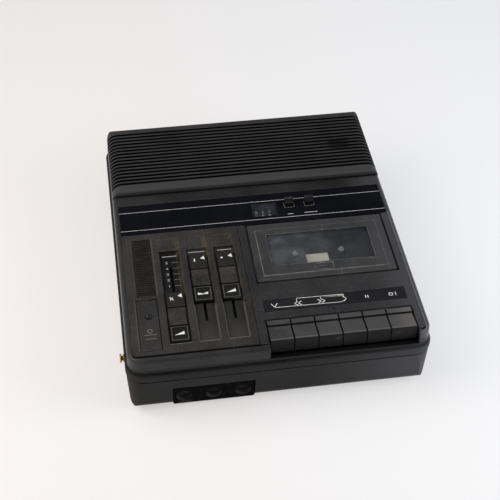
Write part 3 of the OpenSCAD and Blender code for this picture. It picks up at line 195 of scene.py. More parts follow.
# rubbed edges: where a rounded normal leaves the flat one, broken up by noise
def makeEdgeGroup():
    group, given, out = newGroup("rubbedEdge", {"Radius": 0.0006, "Breakup": 120.0}, ["Mask"])
    rounded = addNode(group, "ShaderNodeBevel", {"samples": edgeLook["samples"]})
    group.links.new(given.outputs["Radius"], rounded.inputs["Radius"])
    turn = addNode(group, "ShaderNodeVectorMath", {"operation": "DOT_PRODUCT"})
    group.links.new(rounded.outputs["Normal"], turn.inputs[0])
    group.links.new(addNode(group, "ShaderNodeNewGeometry").outputs["Normal"], turn.inputs[1])
    edge = ramp(group, minus(group, 1.0, turn.outputs["Value"]), *edgeLook["turn"])
    chips = groupNoise(group, given.outputs["Breakup"], detail=4.0, roughness=0.7)
    broken = ramp(group, chips, *edgeLook["chips"], edgeLook["least"], 1.0)
    group.links.new(times(group, edge, broken), out.inputs["Mask"])
    return group


dustLook = {"upward": (0.55, 0.98), "patches": (0.38, 0.66), "hair": (0.69, 0.74), "fineness": 18.0,
            "lays": ((0.5, (1.0, 0.03, 0.2)), (-1.1, (0.04, 1.0, 0.2)))}


# dust that settles on faces that look up, and fine hair scratches
def makeDustGroup():
    starts = {"Patch Scale": 18.0, "Scratch Scale": 60.0}
    group, given, out = newGroup("settledDust", starts, ["Dust", "Scratch"])
    patch = groupNoise(group, given.outputs["Patch Scale"], detail=6.0, roughness=0.65)
    normal = addNode(group, "ShaderNodeSeparateXYZ")
    group.links.new(addNode(group, "ShaderNodeNewGeometry").outputs["Normal"], normal.inputs[0])
    upward = ramp(group, normal.outputs["Z"], *dustLook["upward"])
    dusty = ramp(group, patch, *dustLook["patches"])
    group.links.new(times(group, upward, dusty), out.inputs["Dust"])
    place = addNode(group, "ShaderNodeTexCoord").outputs["Object"]
    fine = times(group, given.outputs["Scratch Scale"], dustLook["fineness"])
    strokes = []
    for turn, stretch in dustLook["lays"]:
        laid = addNode(group, "ShaderNodeMapping", Rotation=(0, 0, turn), Scale=stretch)
        group.links.new(place, laid.inputs["Vector"])
        hair = addNode(group, "ShaderNodeTexNoise", Detail=1.0)
        group.links.new(laid.outputs["Vector"], hair.inputs["Vector"])
        group.links.new(fine, hair.inputs["Scale"])
        strokes.append(ramp(group, hair.outputs["Fac"], *dustLook["hair"]))
    group.links.new(larger(group, *strokes), out.inputs["Scratch"])
    return group


grainGroup, edgeGroup, dustGroup = makeGrainGroup(), makeEdgeGroup(), makeDustGroup()
print("shared effects ready")


def useGroup(tree, group, **values):
    return addNode(tree, "ShaderNodeGroup", {"node_tree": group}, **values)


def startMaterial(name):
    material = bpy.data.materials.new(name)
    material.use_nodes = True
    return material, material.node_tree, material.node_tree.nodes["Principled BSDF"]


# values that most recipes share
common = {"patches": 18.0, "specular": 0.5, "metal": 0.0, "speckle": 0.0, "pits": (0.55, 1.0),
          "filmRough": 0.3, "bumpDepth": 0.0001, "samples": 6}


# one moulded, painted or rolled finish from its recipe; paint adds zones of other colour
def makeFinish(name, given, paint=None):
    recipe = dict(common, **given)
    material, tree, surface = startMaterial(name)
    grain = useGroup(tree, grainGroup, Scale=recipe["grain"], Mottle_Scale=recipe["mottle"])
    edge = useGroup(tree, edgeGroup, Radius=recipe["edge"] * mm)
    dust = useGroup(tree, dustGroup, Patch_Scale=recipe["patches"])
    height, mottle = grain.outputs["Height"], grain.outputs["Mottle"]
    colour = blendColour(tree, mottle, recipe["dark"], recipe["light"])
    if recipe["speckle"]:
        pits = ramp(tree, height, *recipe["pits"], 0.0, recipe["speckle"])
        colour = blendColour(tree, pits, colour, recipe["worn"])
    film = times(tree, dust.outputs["Dust"], recipe["dust"])
    colour = blendColour(tree, film, colour, recipe["dustColour"])
    colour = lay(tree, colour, edge.outputs["Mask"], recipe["worn"], recipe["wear"])
    if paint:
        colour = paint(tree, colour)
    colour = lay(tree, colour, dust.outputs["Scratch"], recipe["worn"], recipe["scratch"])
    tree.links.new(colour, surface.inputs["Base Color"])
    rough = ramp(tree, mottle, 0.0, 1.0, *recipe["rough"])
    dulled = math2(tree, "ADD", rough, times(tree, film, recipe["filmRough"]), True)
    tree.links.new(dulled, surface.inputs["Roughness"])
    surface.inputs["Metallic"].default_value = recipe["metal"]
    surface.inputs["Specular IOR Level"].default_value = recipe["specular"]
    rounded = addNode(tree, "ShaderNodeBevel", {"samples": recipe["samples"]}, Radius=recipe["round"] * mm)
    bump = addNode(tree, "ShaderNodeBump", Strength=recipe["bump"], Distance=recipe["bumpDepth"])
    tree.links.new(height, bump.inputs["Height"])
    tree.links.new(rounded.outputs["Normal"], bump.inputs["Normal"])
    tree.links.new(bump.outputs["Normal"], surface.inputs["Normal"])
    return material


def dress(material, *names):
    for name in names:
        slots = cadNodes[name].data.materials
        slots.clear()
        slots.append(material)


# grained black case mouldings
caseFinish = {"dark": (0.0175, 0.0170, 0.0165), "light": (0.0255, 0.0250, 0.0245),
              "worn": (0.11, 0.108, 0.104), "dustColour": (0.085, 0.080, 0.070), "grain": 2600, "mottle": 26,
              "edge": 1.0, "wear": 0.5, "dust": 0.10, "scratch": 0.08, "rough": (0.46, 0.58), "bump": 0.30,
              "round": 0.5, "specular": 0.13}
# black for dark joints, and for painted shade in gaps, grooves and round parts
gapBlack = (0.003, 0.003, 0.003)
# tops towards the right painted paler: a painted reflection of the light at the right
rightSheen = {"x": (88, 122), "z": (60, 62), "colour": (0.052, 0.052, 0.055)}
# the thin seam is a dark joint; the groove is painted shade
seam = {"z": (43.15, 44.25), "soft": 0.25, "groove": (52.6, 56.4), "grooveSoft": 0.8}
# the front painted paler towards its right corner: a painted reflection
frontSheen = {"x": (15, 145), "y": (-140, -60), "colour": (0.056, 0.056, 0.060)}
# painted shade in the mouth in front of the panels, and a painted highlight along the rim at the right
rim = {"mouth": (-123.1, 119.0, -144.4, -137.0), "mouthSoft": 0.4, "rubbedAndLit": (122.4, 124.2, -143.5, 2.0),
       "sheenSoft": 0.3, "pale": (0.12, 0.12, 0.123)}


# tops towards the right are painted paler, a painted reflection of the light at the right
def paintRightSheen(tree, colour):
    x, y, z = placeAxes(tree)
    rubbedAndLit = times(tree, slope(tree, x, *rightSheen["x"]), slope(tree, z, *rightSheen["z"]))
    return lay(tree, colour, rubbedAndLit, rightSheen["colour"])


# a dark line in the thin seam, and painted shade in the wide groove round the case
def paintSeamAndGrooveShade(tree, colour):
    z = placeAxes(tree)[2]
    groove = between(tree, z, *seam["groove"], seam["grooveSoft"])
    return lay(tree, colour, larger(tree, between(tree, z, *seam["z"], seam["soft"]), groove), gapBlack)


# the front of the case is painted paler towards its right corner, a painted reflection of the light at the
# right; then the seam and groove
def paintFrontSheenAndSeam(tree, colour):
    x, y, z = placeAxes(tree)
    rubbedAndLit = times(tree, slope(tree, y, *frontSheen["y"], 1.0, 0.0), slope(tree, x, *frontSheen["x"]))
    return paintSeamAndGrooveShade(tree, lay(tree, colour, rubbedAndLit, frontSheen["colour"]))


# painted shade in the gap in front of the panels, and a painted highlight along the rim at the right, over
# the painted reflection at the right and the seam and groove
def paintRim(tree, colour):
    x, y, z = placeAxes(tree)
    colour = paintSeamAndGrooveShade(tree, paintRightSheen(tree, colour))
    # painted highlight along the rim at the right
    rubbedAndLit = times(tree, inside(tree, x, y, rim["rubbedAndLit"], rim["sheenSoft"]), slope(tree, z, *rightSheen["z"]))
    colour = lay(tree, colour, rubbedAndLit, rim["pale"])
    # painted shade in the gap in front of the panels
    return lay(tree, colour, inside(tree, x, y, rim["mouth"], rim["mouthSoft"]), gapBlack)


# a darker copy of the case finish for the bottom shell and battery door: painted shade on them
shadedCaseFinish = dict(caseFinish, dark=(0.0082, 0.0079, 0.0077), light=(0.0128, 0.0125, 0.0122))
dress(makeFinish("shadedCaseBlack", shadedCaseFinish, paintFrontSheenAndSeam), "bottom_shell", "battery_door")
rimFinish = dict(caseFinish, dark=(0.016, 0.016, 0.017), light=(0.024, 0.024, 0.025), rough=(0.26, 0.36),
                 specular=0.22)
dress(makeFinish("rimBlack", rimFinish, paintRim), "upper_shell")
bandFinish = dict(caseFinish, dark=(0.018, 0.018, 0.0176), light=(0.025, 0.0247, 0.0243), specular=0.08)
dress(makeFinish("bandBlack", bandFinish, paintFrontSheenAndSeam), "middle_frame")

grilleFinish = dict(caseFinish, dark=(0.026, 0.026, 0.027), light=(0.037, 0.037, 0.039), wear=0.45, edge=0.6,
                    scratch=0.03)
grilleScuffAndShade = {"x": (88, 104), "softX": 4, "y": (92, 104), "softY": 3, "colour": (0.006, 0.006, 0.007),
         "samples": 8, "reach": 4, "shelter": (0.64, 1.0), "deep": (0.001, 0.001, 0.001),
         "lip": (54.0, 62.0), "lipSoft": 1.0, "lipShare": 0.8, "lipColour": (0.050, 0.050, 0.051)}


# pale front lip, painted shade that turns the depth of the grooves black, and a dark rubbed patch
def paintGrilleScuffAndShade(tree, colour):
    x, y, z = placeAxes(tree)
    lip = between(tree, y, *grilleScuffAndShade["lip"], grilleScuffAndShade["lipSoft"])
    colour = lay(tree, colour, lip, grilleScuffAndShade["lipColour"], grilleScuffAndShade["lipShare"])
    # painted shade: the depth of the grooves turns black where the occlusion is strong
    shelter = addNode(tree, "ShaderNodeAmbientOcclusion", {"samples": grilleScuffAndShade["samples"]},
                      Distance=grilleScuffAndShade["reach"] * mm)
    deep = ramp(tree, shelter.outputs["AO"], *grilleScuffAndShade["shelter"], 1.0, 0.0)
    colour = lay(tree, colour, deep, grilleScuffAndShade["deep"])
    across = between(tree, x, *grilleScuffAndShade["x"], grilleScuffAndShade["softX"])
    along = between(tree, y, *grilleScuffAndShade["y"], grilleScuffAndShade["softY"])
    return lay(tree, colour, times(tree, across, along), grilleScuffAndShade["colour"])


dress(makeFinish("grilleBlack", grilleFinish, paintGrilleScuffAndShade), "grille_cover")

# control and deck panels, dulled by handling
panelFinish = {"dark": (0.0150, 0.0140, 0.0137), "light": (0.0235, 0.0222, 0.0216),
               "worn": (0.17, 0.158, 0.146), "dustColour": (0.078, 0.072, 0.066), "grain": 850, "mottle": 34,
               "edge": 0.8, "wear": 0.75, "speckle": 0.16, "dust": 0.20, "scratch": 0.16,
               "rough": (0.50, 0.64), "bump": 0.26, "round": 0.4, "specular": 0.15}
# painted shade along the knobs, in the pockets and at the front edge; lit is a painted highlight beside the
# pockets
lanes = {"x": (-82.15, -57.68, -33.22), "half": 8.6, "halfSoft": 0.1, "floor": (66.6, 66.8),
         "black": (0.005, 0.005, 0.005), "dull": (0.021, 0.021, 0.019), "settled": (0.045, 0.044, 0.041),
         "settledY": (-131, -106), "settledShare": 0.75, "sides": (8.3, 9.1), "soft": 0.3, "rear": -22.9,
         "knobEnd": (-131.5, -92.0, -92.0), "knobGap": 1.0, "mouth": -132.75, "darkShare": 0.8,
         "paleShare": 0.35, "rim": (0.15, 0.145, 0.135), "rimY": (-133.95, -132.55), "rimShare": (0.5, 0.95),
         "noise": 90.0, "detail": 4.0, "patch": (0.35, 0.65), "stain": (0.085, 0.072, 0.036),
         "stainX": (6.6, 9.3), "stainSoftX": 1.6, "stainY": (-76, -8.9), "stainSoftY": 4, "stainShare": 0.55,
         "pockets": ((-116.0, -97.5, -138.9, -80.8), (-114.1, -98.0, -77.1, -6.5)), "lit": (-117.0, -97.1),
         "litWidth": 0.7, "litSoft": 0.4, "litShare": 0.6, "pale": (0.085, 0.080, 0.068),
         "edge": (-143.3, -142.9), "seam": (-18.05, -17.65), "outlineShare": 0.9}


# one lane: its floor and the dust at its front end, painted shadow along the sides of the knob and pale sides
# in front of it, a stain and a pale rim
def paintLane(tree, colour, middle, floor, knobEnd):
    x, y, z = placeAxes(tree)
    lane = between(tree, x, middle - lanes["half"], middle + lanes["half"], lanes["halfSoft"])
    ground = times(tree, slope(tree, z, *lanes["floor"], 1.0, 0.0), lane)
    colour = lay(tree, colour, ground, floor)
    settled = times(tree, ground, slope(tree, y, *lanes["settledY"], lanes["settledShare"], 0.0))
    colour = lay(tree, colour, settled, lanes["settled"])
    away = aside(tree, x, middle)
    # painted shadow on the lane sides along the knob
    dark = inside(tree, away, y, (*lanes["sides"], knobEnd, lanes["rear"]), lanes["soft"])
    colour = lay(tree, colour, dark, lanes["black"], lanes["darkShare"])
    pale = inside(tree, away, y, (*lanes["sides"], lanes["mouth"], knobEnd - lanes["knobGap"]), lanes["soft"])
    colour = lay(tree, colour, pale, lanes["rim"], lanes["paleShare"])
    noise = addNode(tree, "ShaderNodeTexNoise", Scale=lanes["noise"], Detail=lanes["detail"])
    tree.links.new(addNode(tree, "ShaderNodeTexCoord").outputs["Object"], noise.inputs["Vector"])
    patchy = ramp(tree, noise.outputs["Fac"], *lanes["patch"])
    side = between(tree, x, *(middle + edge for edge in lanes["stainX"]), lanes["stainSoftX"])
    stain = times(tree, side, between(tree, y, *lanes["stainY"], lanes["stainSoftY"]))
    colour = lay(tree, colour, times(tree, stain, patchy), lanes["stain"], lanes["stainShare"])
    mouth = times(tree, lane, between(tree, y, *lanes["rimY"], lanes["soft"]))
    return lay(tree, colour, times(tree, mouth, ramp(tree, patchy, 0, 1, *lanes["rimShare"])), lanes["rim"])


# black floor in the first lane, dull ones in the others; painted shade in the pockets with a lit side, a
# painted shadow line along the front edge, and a dark seam
def paintLanes(tree, colour):
    floors = (lanes["black"], lanes["dull"], lanes["dull"])
    for middle, floor, knobEnd in zip(lanes["x"], floors, lanes["knobEnd"]):
        colour = paintLane(tree, colour, middle, floor, knobEnd)
    x, y, z = placeAxes(tree)
    # painted shadow line along the front edge, and a dark seam; the pockets add painted shade
    dark = larger(tree, slope(tree, y, *lanes["edge"], 1.0, 0.0), slope(tree, x, *lanes["seam"]))
    for pocket, lit in zip(lanes["pockets"], lanes["lit"]):
        dark = larger(tree, dark, inside(tree, x, y, pocket, lanes["soft"]))
        bright = inside(tree, x, y, (lit, lit + lanes["litWidth"], *pocket[2:]), lanes["litSoft"])
        colour = lay(tree, colour, bright, lanes["pale"], lanes["litShare"])
    return lay(tree, colour, dark, lanes["black"], lanes["outlineShare"])


dress(makeFinish("controlPanelBlack", panelFinish, paintLanes), "control_panel")

deckFinish = dict(panelFinish, dark=(0.0153, 0.0156, 0.0168), light=(0.0225, 0.0230, 0.0246),
                  worn=(0.165, 0.167, 0.170), dustColour=(0.073, 0.073, 0.073), dust=0.14, speckle=0.10)
# painted shade in the gaps round the lid and the keys
lidGapShade = {"x": (-9.45, 115.95), "y": (-73.8, 0.0), "reach": 0.8, "soft": 0.4, "endSoft": 1.0, "share": 0.9,
          "keys": ((115.5, 116.5, -146.0, -118.4), (-10.2, 116.5, -119.6, -117.2)), "keySoft": 0.2}


# painted shade in the gaps where the lid and the keys meet the deck, over the painted reflection at the right
def paintLidGapShade(tree, colour):
    x, y, z = placeAxes(tree)
    reach, soft = lidGapShade["reach"], lidGapShade["soft"]
    across = between(tree, x, *lidGapShade["x"], lidGapShade["endSoft"])
    along = between(tree, y, *lidGapShade["y"], lidGapShade["endSoft"])
    dark = times(tree, stripe(tree, y, lidGapShade["y"][0], reach, soft), across)
    for edge in lidGapShade["x"]:
        dark = larger(tree, dark, times(tree, stripe(tree, x, edge, reach, soft), along))
    for area in lidGapShade["keys"]:
        dark = larger(tree, dark, inside(tree, x, y, area, lidGapShade["keySoft"]))
    return lay(tree, paintRightSheen(tree, colour), dark, gapBlack, lidGapShade["share"])


dress(makeFinish("deckPanelBlack", deckFinish, paintLidGapShade), "deck_panel")

lidFinish = dict(deckFinish, dark=(0.029, 0.0295, 0.031), light=(0.040, 0.0405, 0.042),
                 worn=(0.38, 0.38, 0.37), wear=1.0, scratch=0.12, speckle=0.04)
lidRing = {"area": (-2.1, 108.6, -66.1, -8.5), "width": 0.6, "soft": 0.3, "share": 0.4,
           "pale": (0.21, 0.21, 0.212)}


# pale line along the edge of the raised field round the window
def paintLidRing(tree, colour):
    x, y, z = placeAxes(tree)
    ring = outline(tree, x, y, lidRing["area"], lidRing["width"], lidRing["soft"])
    return lay(tree, paintLidGapShade(tree, colour), ring, lidRing["pale"], lidRing["share"])


dress(makeFinish("lidBlack", lidFinish, paintLidRing), "lid_frame")

keyFinish = dict(deckFinish, dark=(0.021, 0.021, 0.022), light=(0.032, 0.032, 0.033), worn=(0.22, 0.22, 0.22),
                 dustColour=(0.092, 0.093, 0.095), dust=0.5, patches=22.0, scratch=0.10, round=0.6, edge=0.9)
# painted sheen to the right, painted shade, a painted highlight on the ridge, and painted shadow lines on the
# keys
keyLightAndShade = {"first": -9.45, "pitch": 20.5, "near": (0.5, 1.0), "last": (110.0, 111.0), "end": (114.6, 115.0),
           "ledge": (-125.9, -125.2), "ledgeSoft": 0.4, "rear": (-120.2, -119.8), "front": (-143.0, -142.6),
           "frontShare": 0.95, "frontZ": (53, 62), "frontColour": (0.007, 0.007, 0.007),
           "ridge": (-142.4, -141.5), "ridgeSoft": 0.5, "ridgeShare": 0.6,
           "ridgeHighlight": (0.115, 0.115, 0.115), "rubAndSheenShare": 0.7,
           "rubsAndSheen": (((0, 55), (0.072, 0.072, 0.073)), ((92, 116), (0.135, 0.132, 0.120)))}


# keys rubbed paler and painted brighter towards the right where the light falls, painted shade on the fronts,
# a painted highlight on the ridge, and painted shadow lines along the ledge, at the rear and where two keys
# meet
def paintKeyLightAndShade(tree, colour):
    x, y, z = placeAxes(tree)
    for ends, pale in keyLightAndShade["rubsAndSheen"]:
        colour = lay(tree, colour, slope(tree, x, *ends, 0.0, keyLightAndShade["rubAndSheenShare"]), pale)
    # painted shade on the key fronts, darker towards the bottom
    shade = blendColour(tree, slope(tree, z, *keyLightAndShade["frontZ"]), gapBlack, keyLightAndShade["frontColour"])
    colour = lay(tree, colour, slope(tree, y, *keyLightAndShade["front"], keyLightAndShade["frontShare"], 0.0), shade)
    # painted highlight on the ridge
    ridge = between(tree, y, *keyLightAndShade["ridge"], keyLightAndShade["ridgeSoft"])
    colour = lay(tree, colour, ridge, keyLightAndShade["ridgeHighlight"], keyLightAndShade["ridgeShare"])
    # painted shadow lines along the ledge and at the rear
    ledge = between(tree, y, *keyLightAndShade["ledge"], keyLightAndShade["ledgeSoft"])
    colour = lay(tree, colour, larger(tree, ledge, slope(tree, y, *keyLightAndShade["rear"])), gapBlack)
    # painted shadow where two keys meet and beside the last key
    along = minus(tree, x, keyLightAndShade["first"] * mm)
    away = math2(tree, "PINGPONG", along, keyLightAndShade["pitch"] / 2 * mm)
    near = slope(tree, away, *keyLightAndShade["near"], 1.0, 0.0)
    inner = slope(tree, x, *keyLightAndShade["last"], 1.0, 0.0)
    meeting = larger(tree, times(tree, near, inner), slope(tree, x, *keyLightAndShade["end"]))
    return lay(tree, colour, meeting, gapBlack)


dress(makeFinish("keyGrey", keyFinish, paintKeyLightAndShade), "record_key", "rewind_key", "forward_key", "play_key",
      "pause_key", "stop_key")

knobFinish = dict(panelFinish, dark=(0.013, 0.0128, 0.0125), light=(0.021, 0.0205, 0.0198), dust=0.35,
                  patches=60.0, worn=(0.20, 0.19, 0.17), wear=0.8)
knobTiles = {"rear": (10.45, 28.25), "rearColour": (0.011, 0.011, 0.011), "rearShare": 0.7,
             "front": (-28.25, -10.45), "frontColour": (0.004, 0.004, 0.004), "frontShare": 0.8,
             "frame": (-1, 6.3, -26.3, -12.4), "frameWidth": 0.6, "frameSoft": 0.2, "frameShare": 0.6,
             "frameColour": (0.13, 0.13, 0.125), "side": (7.0, 7.5), "gap": (0.002, 0.002, 0.002),
             "gapSoft": 0.4, "joints": ((10.45, 0.5), (-10.45, 0.5), (28.25, 0.6), (-28.25, 0.6))}
knobPlaces = {"volume_knob": (-82.15, -104.1), "tone_knob": (-57.68, -61.1), "level_knob": (-33.22, -61.1)}


# dark rear and front tiles, pale frame round the sunk field, black joints between the tiles, and painted
# shadow along the sides and ends of the knob
def knobPaint(placeX, placeY):
    def paint(tree, colour):
        x, y, z = placeAxes(tree)
        along = minus(tree, y, placeY * mm)
        away = aside(tree, x, placeX)
        for tile in ("rear", "front"):
            mask = between(tree, along, *knobTiles[tile])
            colour = lay(tree, colour, mask, knobTiles[tile + "Colour"], knobTiles[tile + "Share"])
        edge = outline(tree, away, along, knobTiles["frame"], knobTiles["frameWidth"], knobTiles["frameSoft"])
        colour = lay(tree, colour, edge, knobTiles["frameColour"], knobTiles["frameShare"])
        # painted shadow along the sides and ends of the knob, and black joints between the tiles
        gap = slope(tree, away, *knobTiles["side"])
        for joint, reach in knobTiles["joints"]:
            gap = larger(tree, gap, stripe(tree, along, joint, reach, knobTiles["gapSoft"]))
        return lay(tree, colour, gap, knobTiles["gap"])
    return paint


for name, place in knobPlaces.items():
    dress(makeFinish(name + "Black", knobFinish, knobPaint(*place)), name)

buttonFinish = dict(knobFinish, dark=(0.003, 0.003, 0.003), light=(0.005, 0.005, 0.005), patches=160.0,
                    dustColour=(0.12, 0.12, 0.115), wear=0.25)
hollowShade = {"y": (24.3, 24.9), "share": 0.95, "black": (0.002, 0.002, 0.002)}


# the front half of the push buttons is painted black: painted shade in their hollow
def paintHollowShade(tree, colour):
    ahead = slope(tree, placeAxes(tree)[1], *hollowShade["y"], hollowShade["share"], 0.0)
    return lay(tree, colour, ahead, hollowShade["black"])


dress(makeFinish("buttonBlack", buttonFinish, paintHollowShade), "reset_button", "speaker_button")

glossFinish = {"dark": (0.0042, 0.0045, 0.0062), "light": (0.0058, 0.0062, 0.0084),
               "worn": (0.04, 0.04, 0.045), "dustColour": (0.05, 0.052, 0.06), "grain": 900, "mottle": 12,
               "edge": 0.3, "wear": 0.2, "dust": 0.05, "scratch": 0.06, "rough": (0.13, 0.18), "bump": 0.01,
               "round": 0.3, "specular": 0.25}
dress(makeFinish("fasciaGloss", glossFinish), "fascia_strip")
stripFinish = dict(glossFinish, dark=(0.006, 0.006, 0.007), light=(0.010, 0.010, 0.012), rough=(0.40, 0.52),
                   specular=0.18)
dress(makeFinish("symbolStripBlack", stripFinish), "symbol_strip")
lampFinish = dict(glossFinish, dark=(0.003, 0.002, 0.002), light=(0.005, 0.003, 0.003), rough=(0.08, 0.16),
                  specular=0.3)
dress(makeFinish("lampRed", lampFinish), "indicator_lamp")

trimFinish = dict(panelFinish, dark=(0.010, 0.010, 0.010), light=(0.016, 0.0155, 0.015), wear=0.3,
                  specular=0.12, speckle=0)
dress(makeFinish("trimBlack", trimFinish), "counter_frame", "mains_inlet", "slide_potentiometers")
louvreFinish = dict(trimFinish, dark=(0.006, 0.006, 0.006), light=(0.010, 0.0095, 0.009), dust=0.12)
dress(makeFinish("louvreBlack", louvreFinish), "mic_louvre")

socketFinish = dict(trimFinish, dark=(0.002, 0.002, 0.002), light=(0.004, 0.004, 0.004), dust=0.02, wear=0.1,
                    specular=0.02)
sockets = {"x": (-82.58, -57.19, -31.80), "z": 14.4, "bore": (6.55, 6.75), "face": (-145.7, -145.4),
           "lining": (0.065, 0.065, 0.065)}


# grey lining inside the three socket bores
def paintBores(tree, colour):
    x, y, z = placeAxes(tree)
    deep = slope(tree, y, *sockets["face"])
    rise = math2(tree, "POWER", minus(tree, z, sockets["z"] * mm), 2.0)
    for middle in sockets["x"]:
        across = math2(tree, "POWER", minus(tree, x, middle * mm), 2.0)
        apart = math2(tree, "SQRT", math2(tree, "ADD", across, rise), 0.0)
        bore = slope(tree, apart, *sockets["bore"], 1.0, 0.0)
        colour = lay(tree, colour, times(tree, bore, deep), sockets["lining"])
    return colour


dress(makeFinish("socketBlack", socketFinish, paintBores), "din_sockets")

plateFinish = dict(panelFinish, dark=(0.018, 0.0178, 0.0185), light=(0.026, 0.0257, 0.0265), speckle=0.08,
                   dust=0.1)
plateRimShade = {"area": (-115.3, -98.6, -138.0, -81.7), "soft": 0.4}


# painted shade in the gap round the indicator plate
def paintPlateRimShade(tree, colour):
    x, y, z = placeAxes(tree)
    edge = minus(tree, 1.0, inside(tree, x, y, plateRimShade["area"], plateRimShade["soft"]))
    return lay(tree, colour, edge, gapBlack)


dress(makeFinish("indicatorPlateBlack", plateFinish, paintPlateRimShade), "indicator_plate")

wellFinish = dict(trimFinish, dark=(0.010, 0.0105, 0.012), light=(0.020, 0.021, 0.024), dust=0.5,
                  patches=30.0)
dress(makeFinish("wellBlack", wellFinish), "cassette_well")
rubberFinish = dict(trimFinish, rough=(0.7, 0.85), specular=0.25, dust=0.15)
dress(makeFinish("softRubber", rubberFinish), "rubber_feet", "pinch_roller", "drive_belt")
paperFinish = dict(rubberFinish, dark=(0.012, 0.011, 0.010), light=(0.020, 0.018, 0.016), grain=900, bump=0.5)
dress(makeFinish("conePaper", paperFinish), "loudspeaker_cone")
wheelFinish = dict(trimFinish, light=(0.014, 0.014, 0.014), dust=0.0)
dress(makeFinish("wheelBlack", wheelFinish), "counter_wheel_ones", "counter_wheel_tens",
      "counter_wheel_hundreds")

spindleFinish = dict(deckFinish, dark=(0.018, 0.018, 0.018), light=(0.028, 0.028, 0.028),
                     worn=(0.06, 0.06, 0.06))
spindleTip = {"z": (59.4, 59.8), "colour": (0.24, 0.24, 0.235)}


# pale tips of the reel spindles
def paintTip(tree, colour):
    return lay(tree, colour, slope(tree, placeAxes(tree)[2], *spindleTip["z"]), spindleTip["colour"])


dress(makeFinish("spindleGrey", spindleFinish, paintTip), "supply_spindle", "takeup_spindle")
laminateFinish = dict(deckFinish, dark=(0.13, 0.085, 0.035), light=(0.20, 0.14, 0.07), worn=(0.3, 0.22, 0.12))
dress(makeFinish("brownLaminate", laminateFinish), "main_board")
creamFinish = dict(deckFinish, dark=(0.60, 0.585, 0.48), light=(0.70, 0.685, 0.57), worn=(0.8, 0.78, 0.68),
                   dustColour=(0.4, 0.37, 0.28), dust=0.2, rough=(0.35, 0.5))
dress(makeFinish("creamReflector", creamFinish), "reflector")

# metals, and paint and varnish on metal
steelFinish = {"dark": (0.40, 0.41, 0.42), "light": (0.52, 0.53, 0.54), "worn": (0.66, 0.66, 0.66),
               "dustColour": (0.3, 0.28, 0.25), "grain": 700, "mottle": 60, "edge": 0.4, "wear": 0.4,
               "dust": 0.2, "scratch": 0.2, "rough": (0.28, 0.42), "bump": 0.05, "round": 0.2, "metal": 1.0}
dress(makeFinish("platedSteel", steelFinish), "deck_chassis", "flywheel_bracket", "head_bridge", "pinch_arm",
      "motor", "microphone", "capstan_flywheel")
brightFinish = dict(steelFinish, dark=(0.55, 0.56, 0.57), light=(0.66, 0.67, 0.68), rough=(0.14, 0.24))
dress(makeFinish("brightSteel", brightFinish), "lid_hinge_pin", "key_axle", "counter_shaft", "tape_heads",
      "battery_contacts", "case_screws")
paintedFinish = dict(steelFinish, dark=(0.09, 0.09, 0.095), light=(0.13, 0.13, 0.135), metal=0.0,
                     rough=(0.45, 0.6))
dress(makeFinish("greyPaint", paintedFinish), "loudspeaker_frame")
coreFinish = dict(paintedFinish, dark=(0.15, 0.11, 0.07), light=(0.22, 0.17, 0.11), dust=0.3)
dress(makeFinish("varnishedCore", coreFinish), "transformer")

brassFinish = dict(steelFinish, dark=(0.42, 0.27, 0.07), light=(0.66, 0.46, 0.15), worn=(0.82, 0.66, 0.34),
                   dustColour=(0.16, 0.10, 0.03), rough=(0.22, 0.4), mottle=300, dust=0.3)
waistShade = {"x": (-132.3, -130.7), "soft": 0.3, "colour": (0.05, 0.032, 0.012)}


# painted shade on the waist of the strap stud
def paintWaistShade(tree, colour):
    return lay(tree, colour, between(tree, placeAxes(tree)[0], *waistShade["x"], waistShade["soft"]), waistShade["colour"])


oldBrass = makeFinish("oldBrass", brassFinish, paintWaistShade)
dress(oldBrass, "strap_stud", "capstan_bearing", "motor_pulley")

# smoked clear plastic under a film of dust; alpha is how much the film hides, and the film clears along X
lidGlass = {"smoke": (0.11, 0.12, 0.135), "film": (0.19, 0.20, 0.22), "rough": (0.18, 0.34),
            "alpha": (0.10, 0.28), "clears": (20, 80)}
counterGlass = {"smoke": (0.030, 0.033, 0.044), "film": (0.060, 0.064, 0.078), "rough": (0.12, 0.24),
                "alpha": (0.16, 0.40), "clears": (30, 60)}
filmLook = {"patches": 60.0, "hair": 70.0, "grain": 1800.0, "mottle": 60.0, "patchy": (0.45, 0.85),
            "cleared": 0.32, "scratch": 0.3}


def makeWindow(name, look):
    material, tree, surface = startMaterial(name)
    dust = useGroup(tree, dustGroup, Patch_Scale=filmLook["patches"], Scratch_Scale=filmLook["hair"])
    grain = useGroup(tree, grainGroup, Scale=filmLook["grain"], Mottle_Scale=filmLook["mottle"])
    patchy = ramp(tree, dust.outputs["Dust"], 0.0, 1.0, *filmLook["patchy"])
    clearing = slope(tree, placeAxes(tree)[0], *look["clears"], 1.0, filmLook["cleared"])
    scratched = times(tree, dust.outputs["Scratch"], filmLook["scratch"])
    hazy = math2(tree, "ADD", times(tree, patchy, clearing), scratched, True)
    tree.links.new(blendColour(tree, hazy, look["smoke"], look["film"]), surface.inputs["Base Color"])
    tree.links.new(ramp(tree, grain.outputs["Mottle"], 0.0, 1.0, *look["rough"]), surface.inputs["Roughness"])
    tree.links.new(ramp(tree, hazy, 0.0, 1.0, *look["alpha"]), surface.inputs["Alpha"])
    return material


dress(makeWindow("lidGlass", lidGlass), "lid_window")
dress(makeWindow("counterGlass", counterGlass), "counter_window")
print("finishes on", len(cadNodes), "nodes")


def addPiece(name, mesh, material):
    mesh.materials.append(material)
    piece = bpy.data.objects.new(name, mesh)
    bpy.context.scene.collection.objects.link(piece)
    return piece


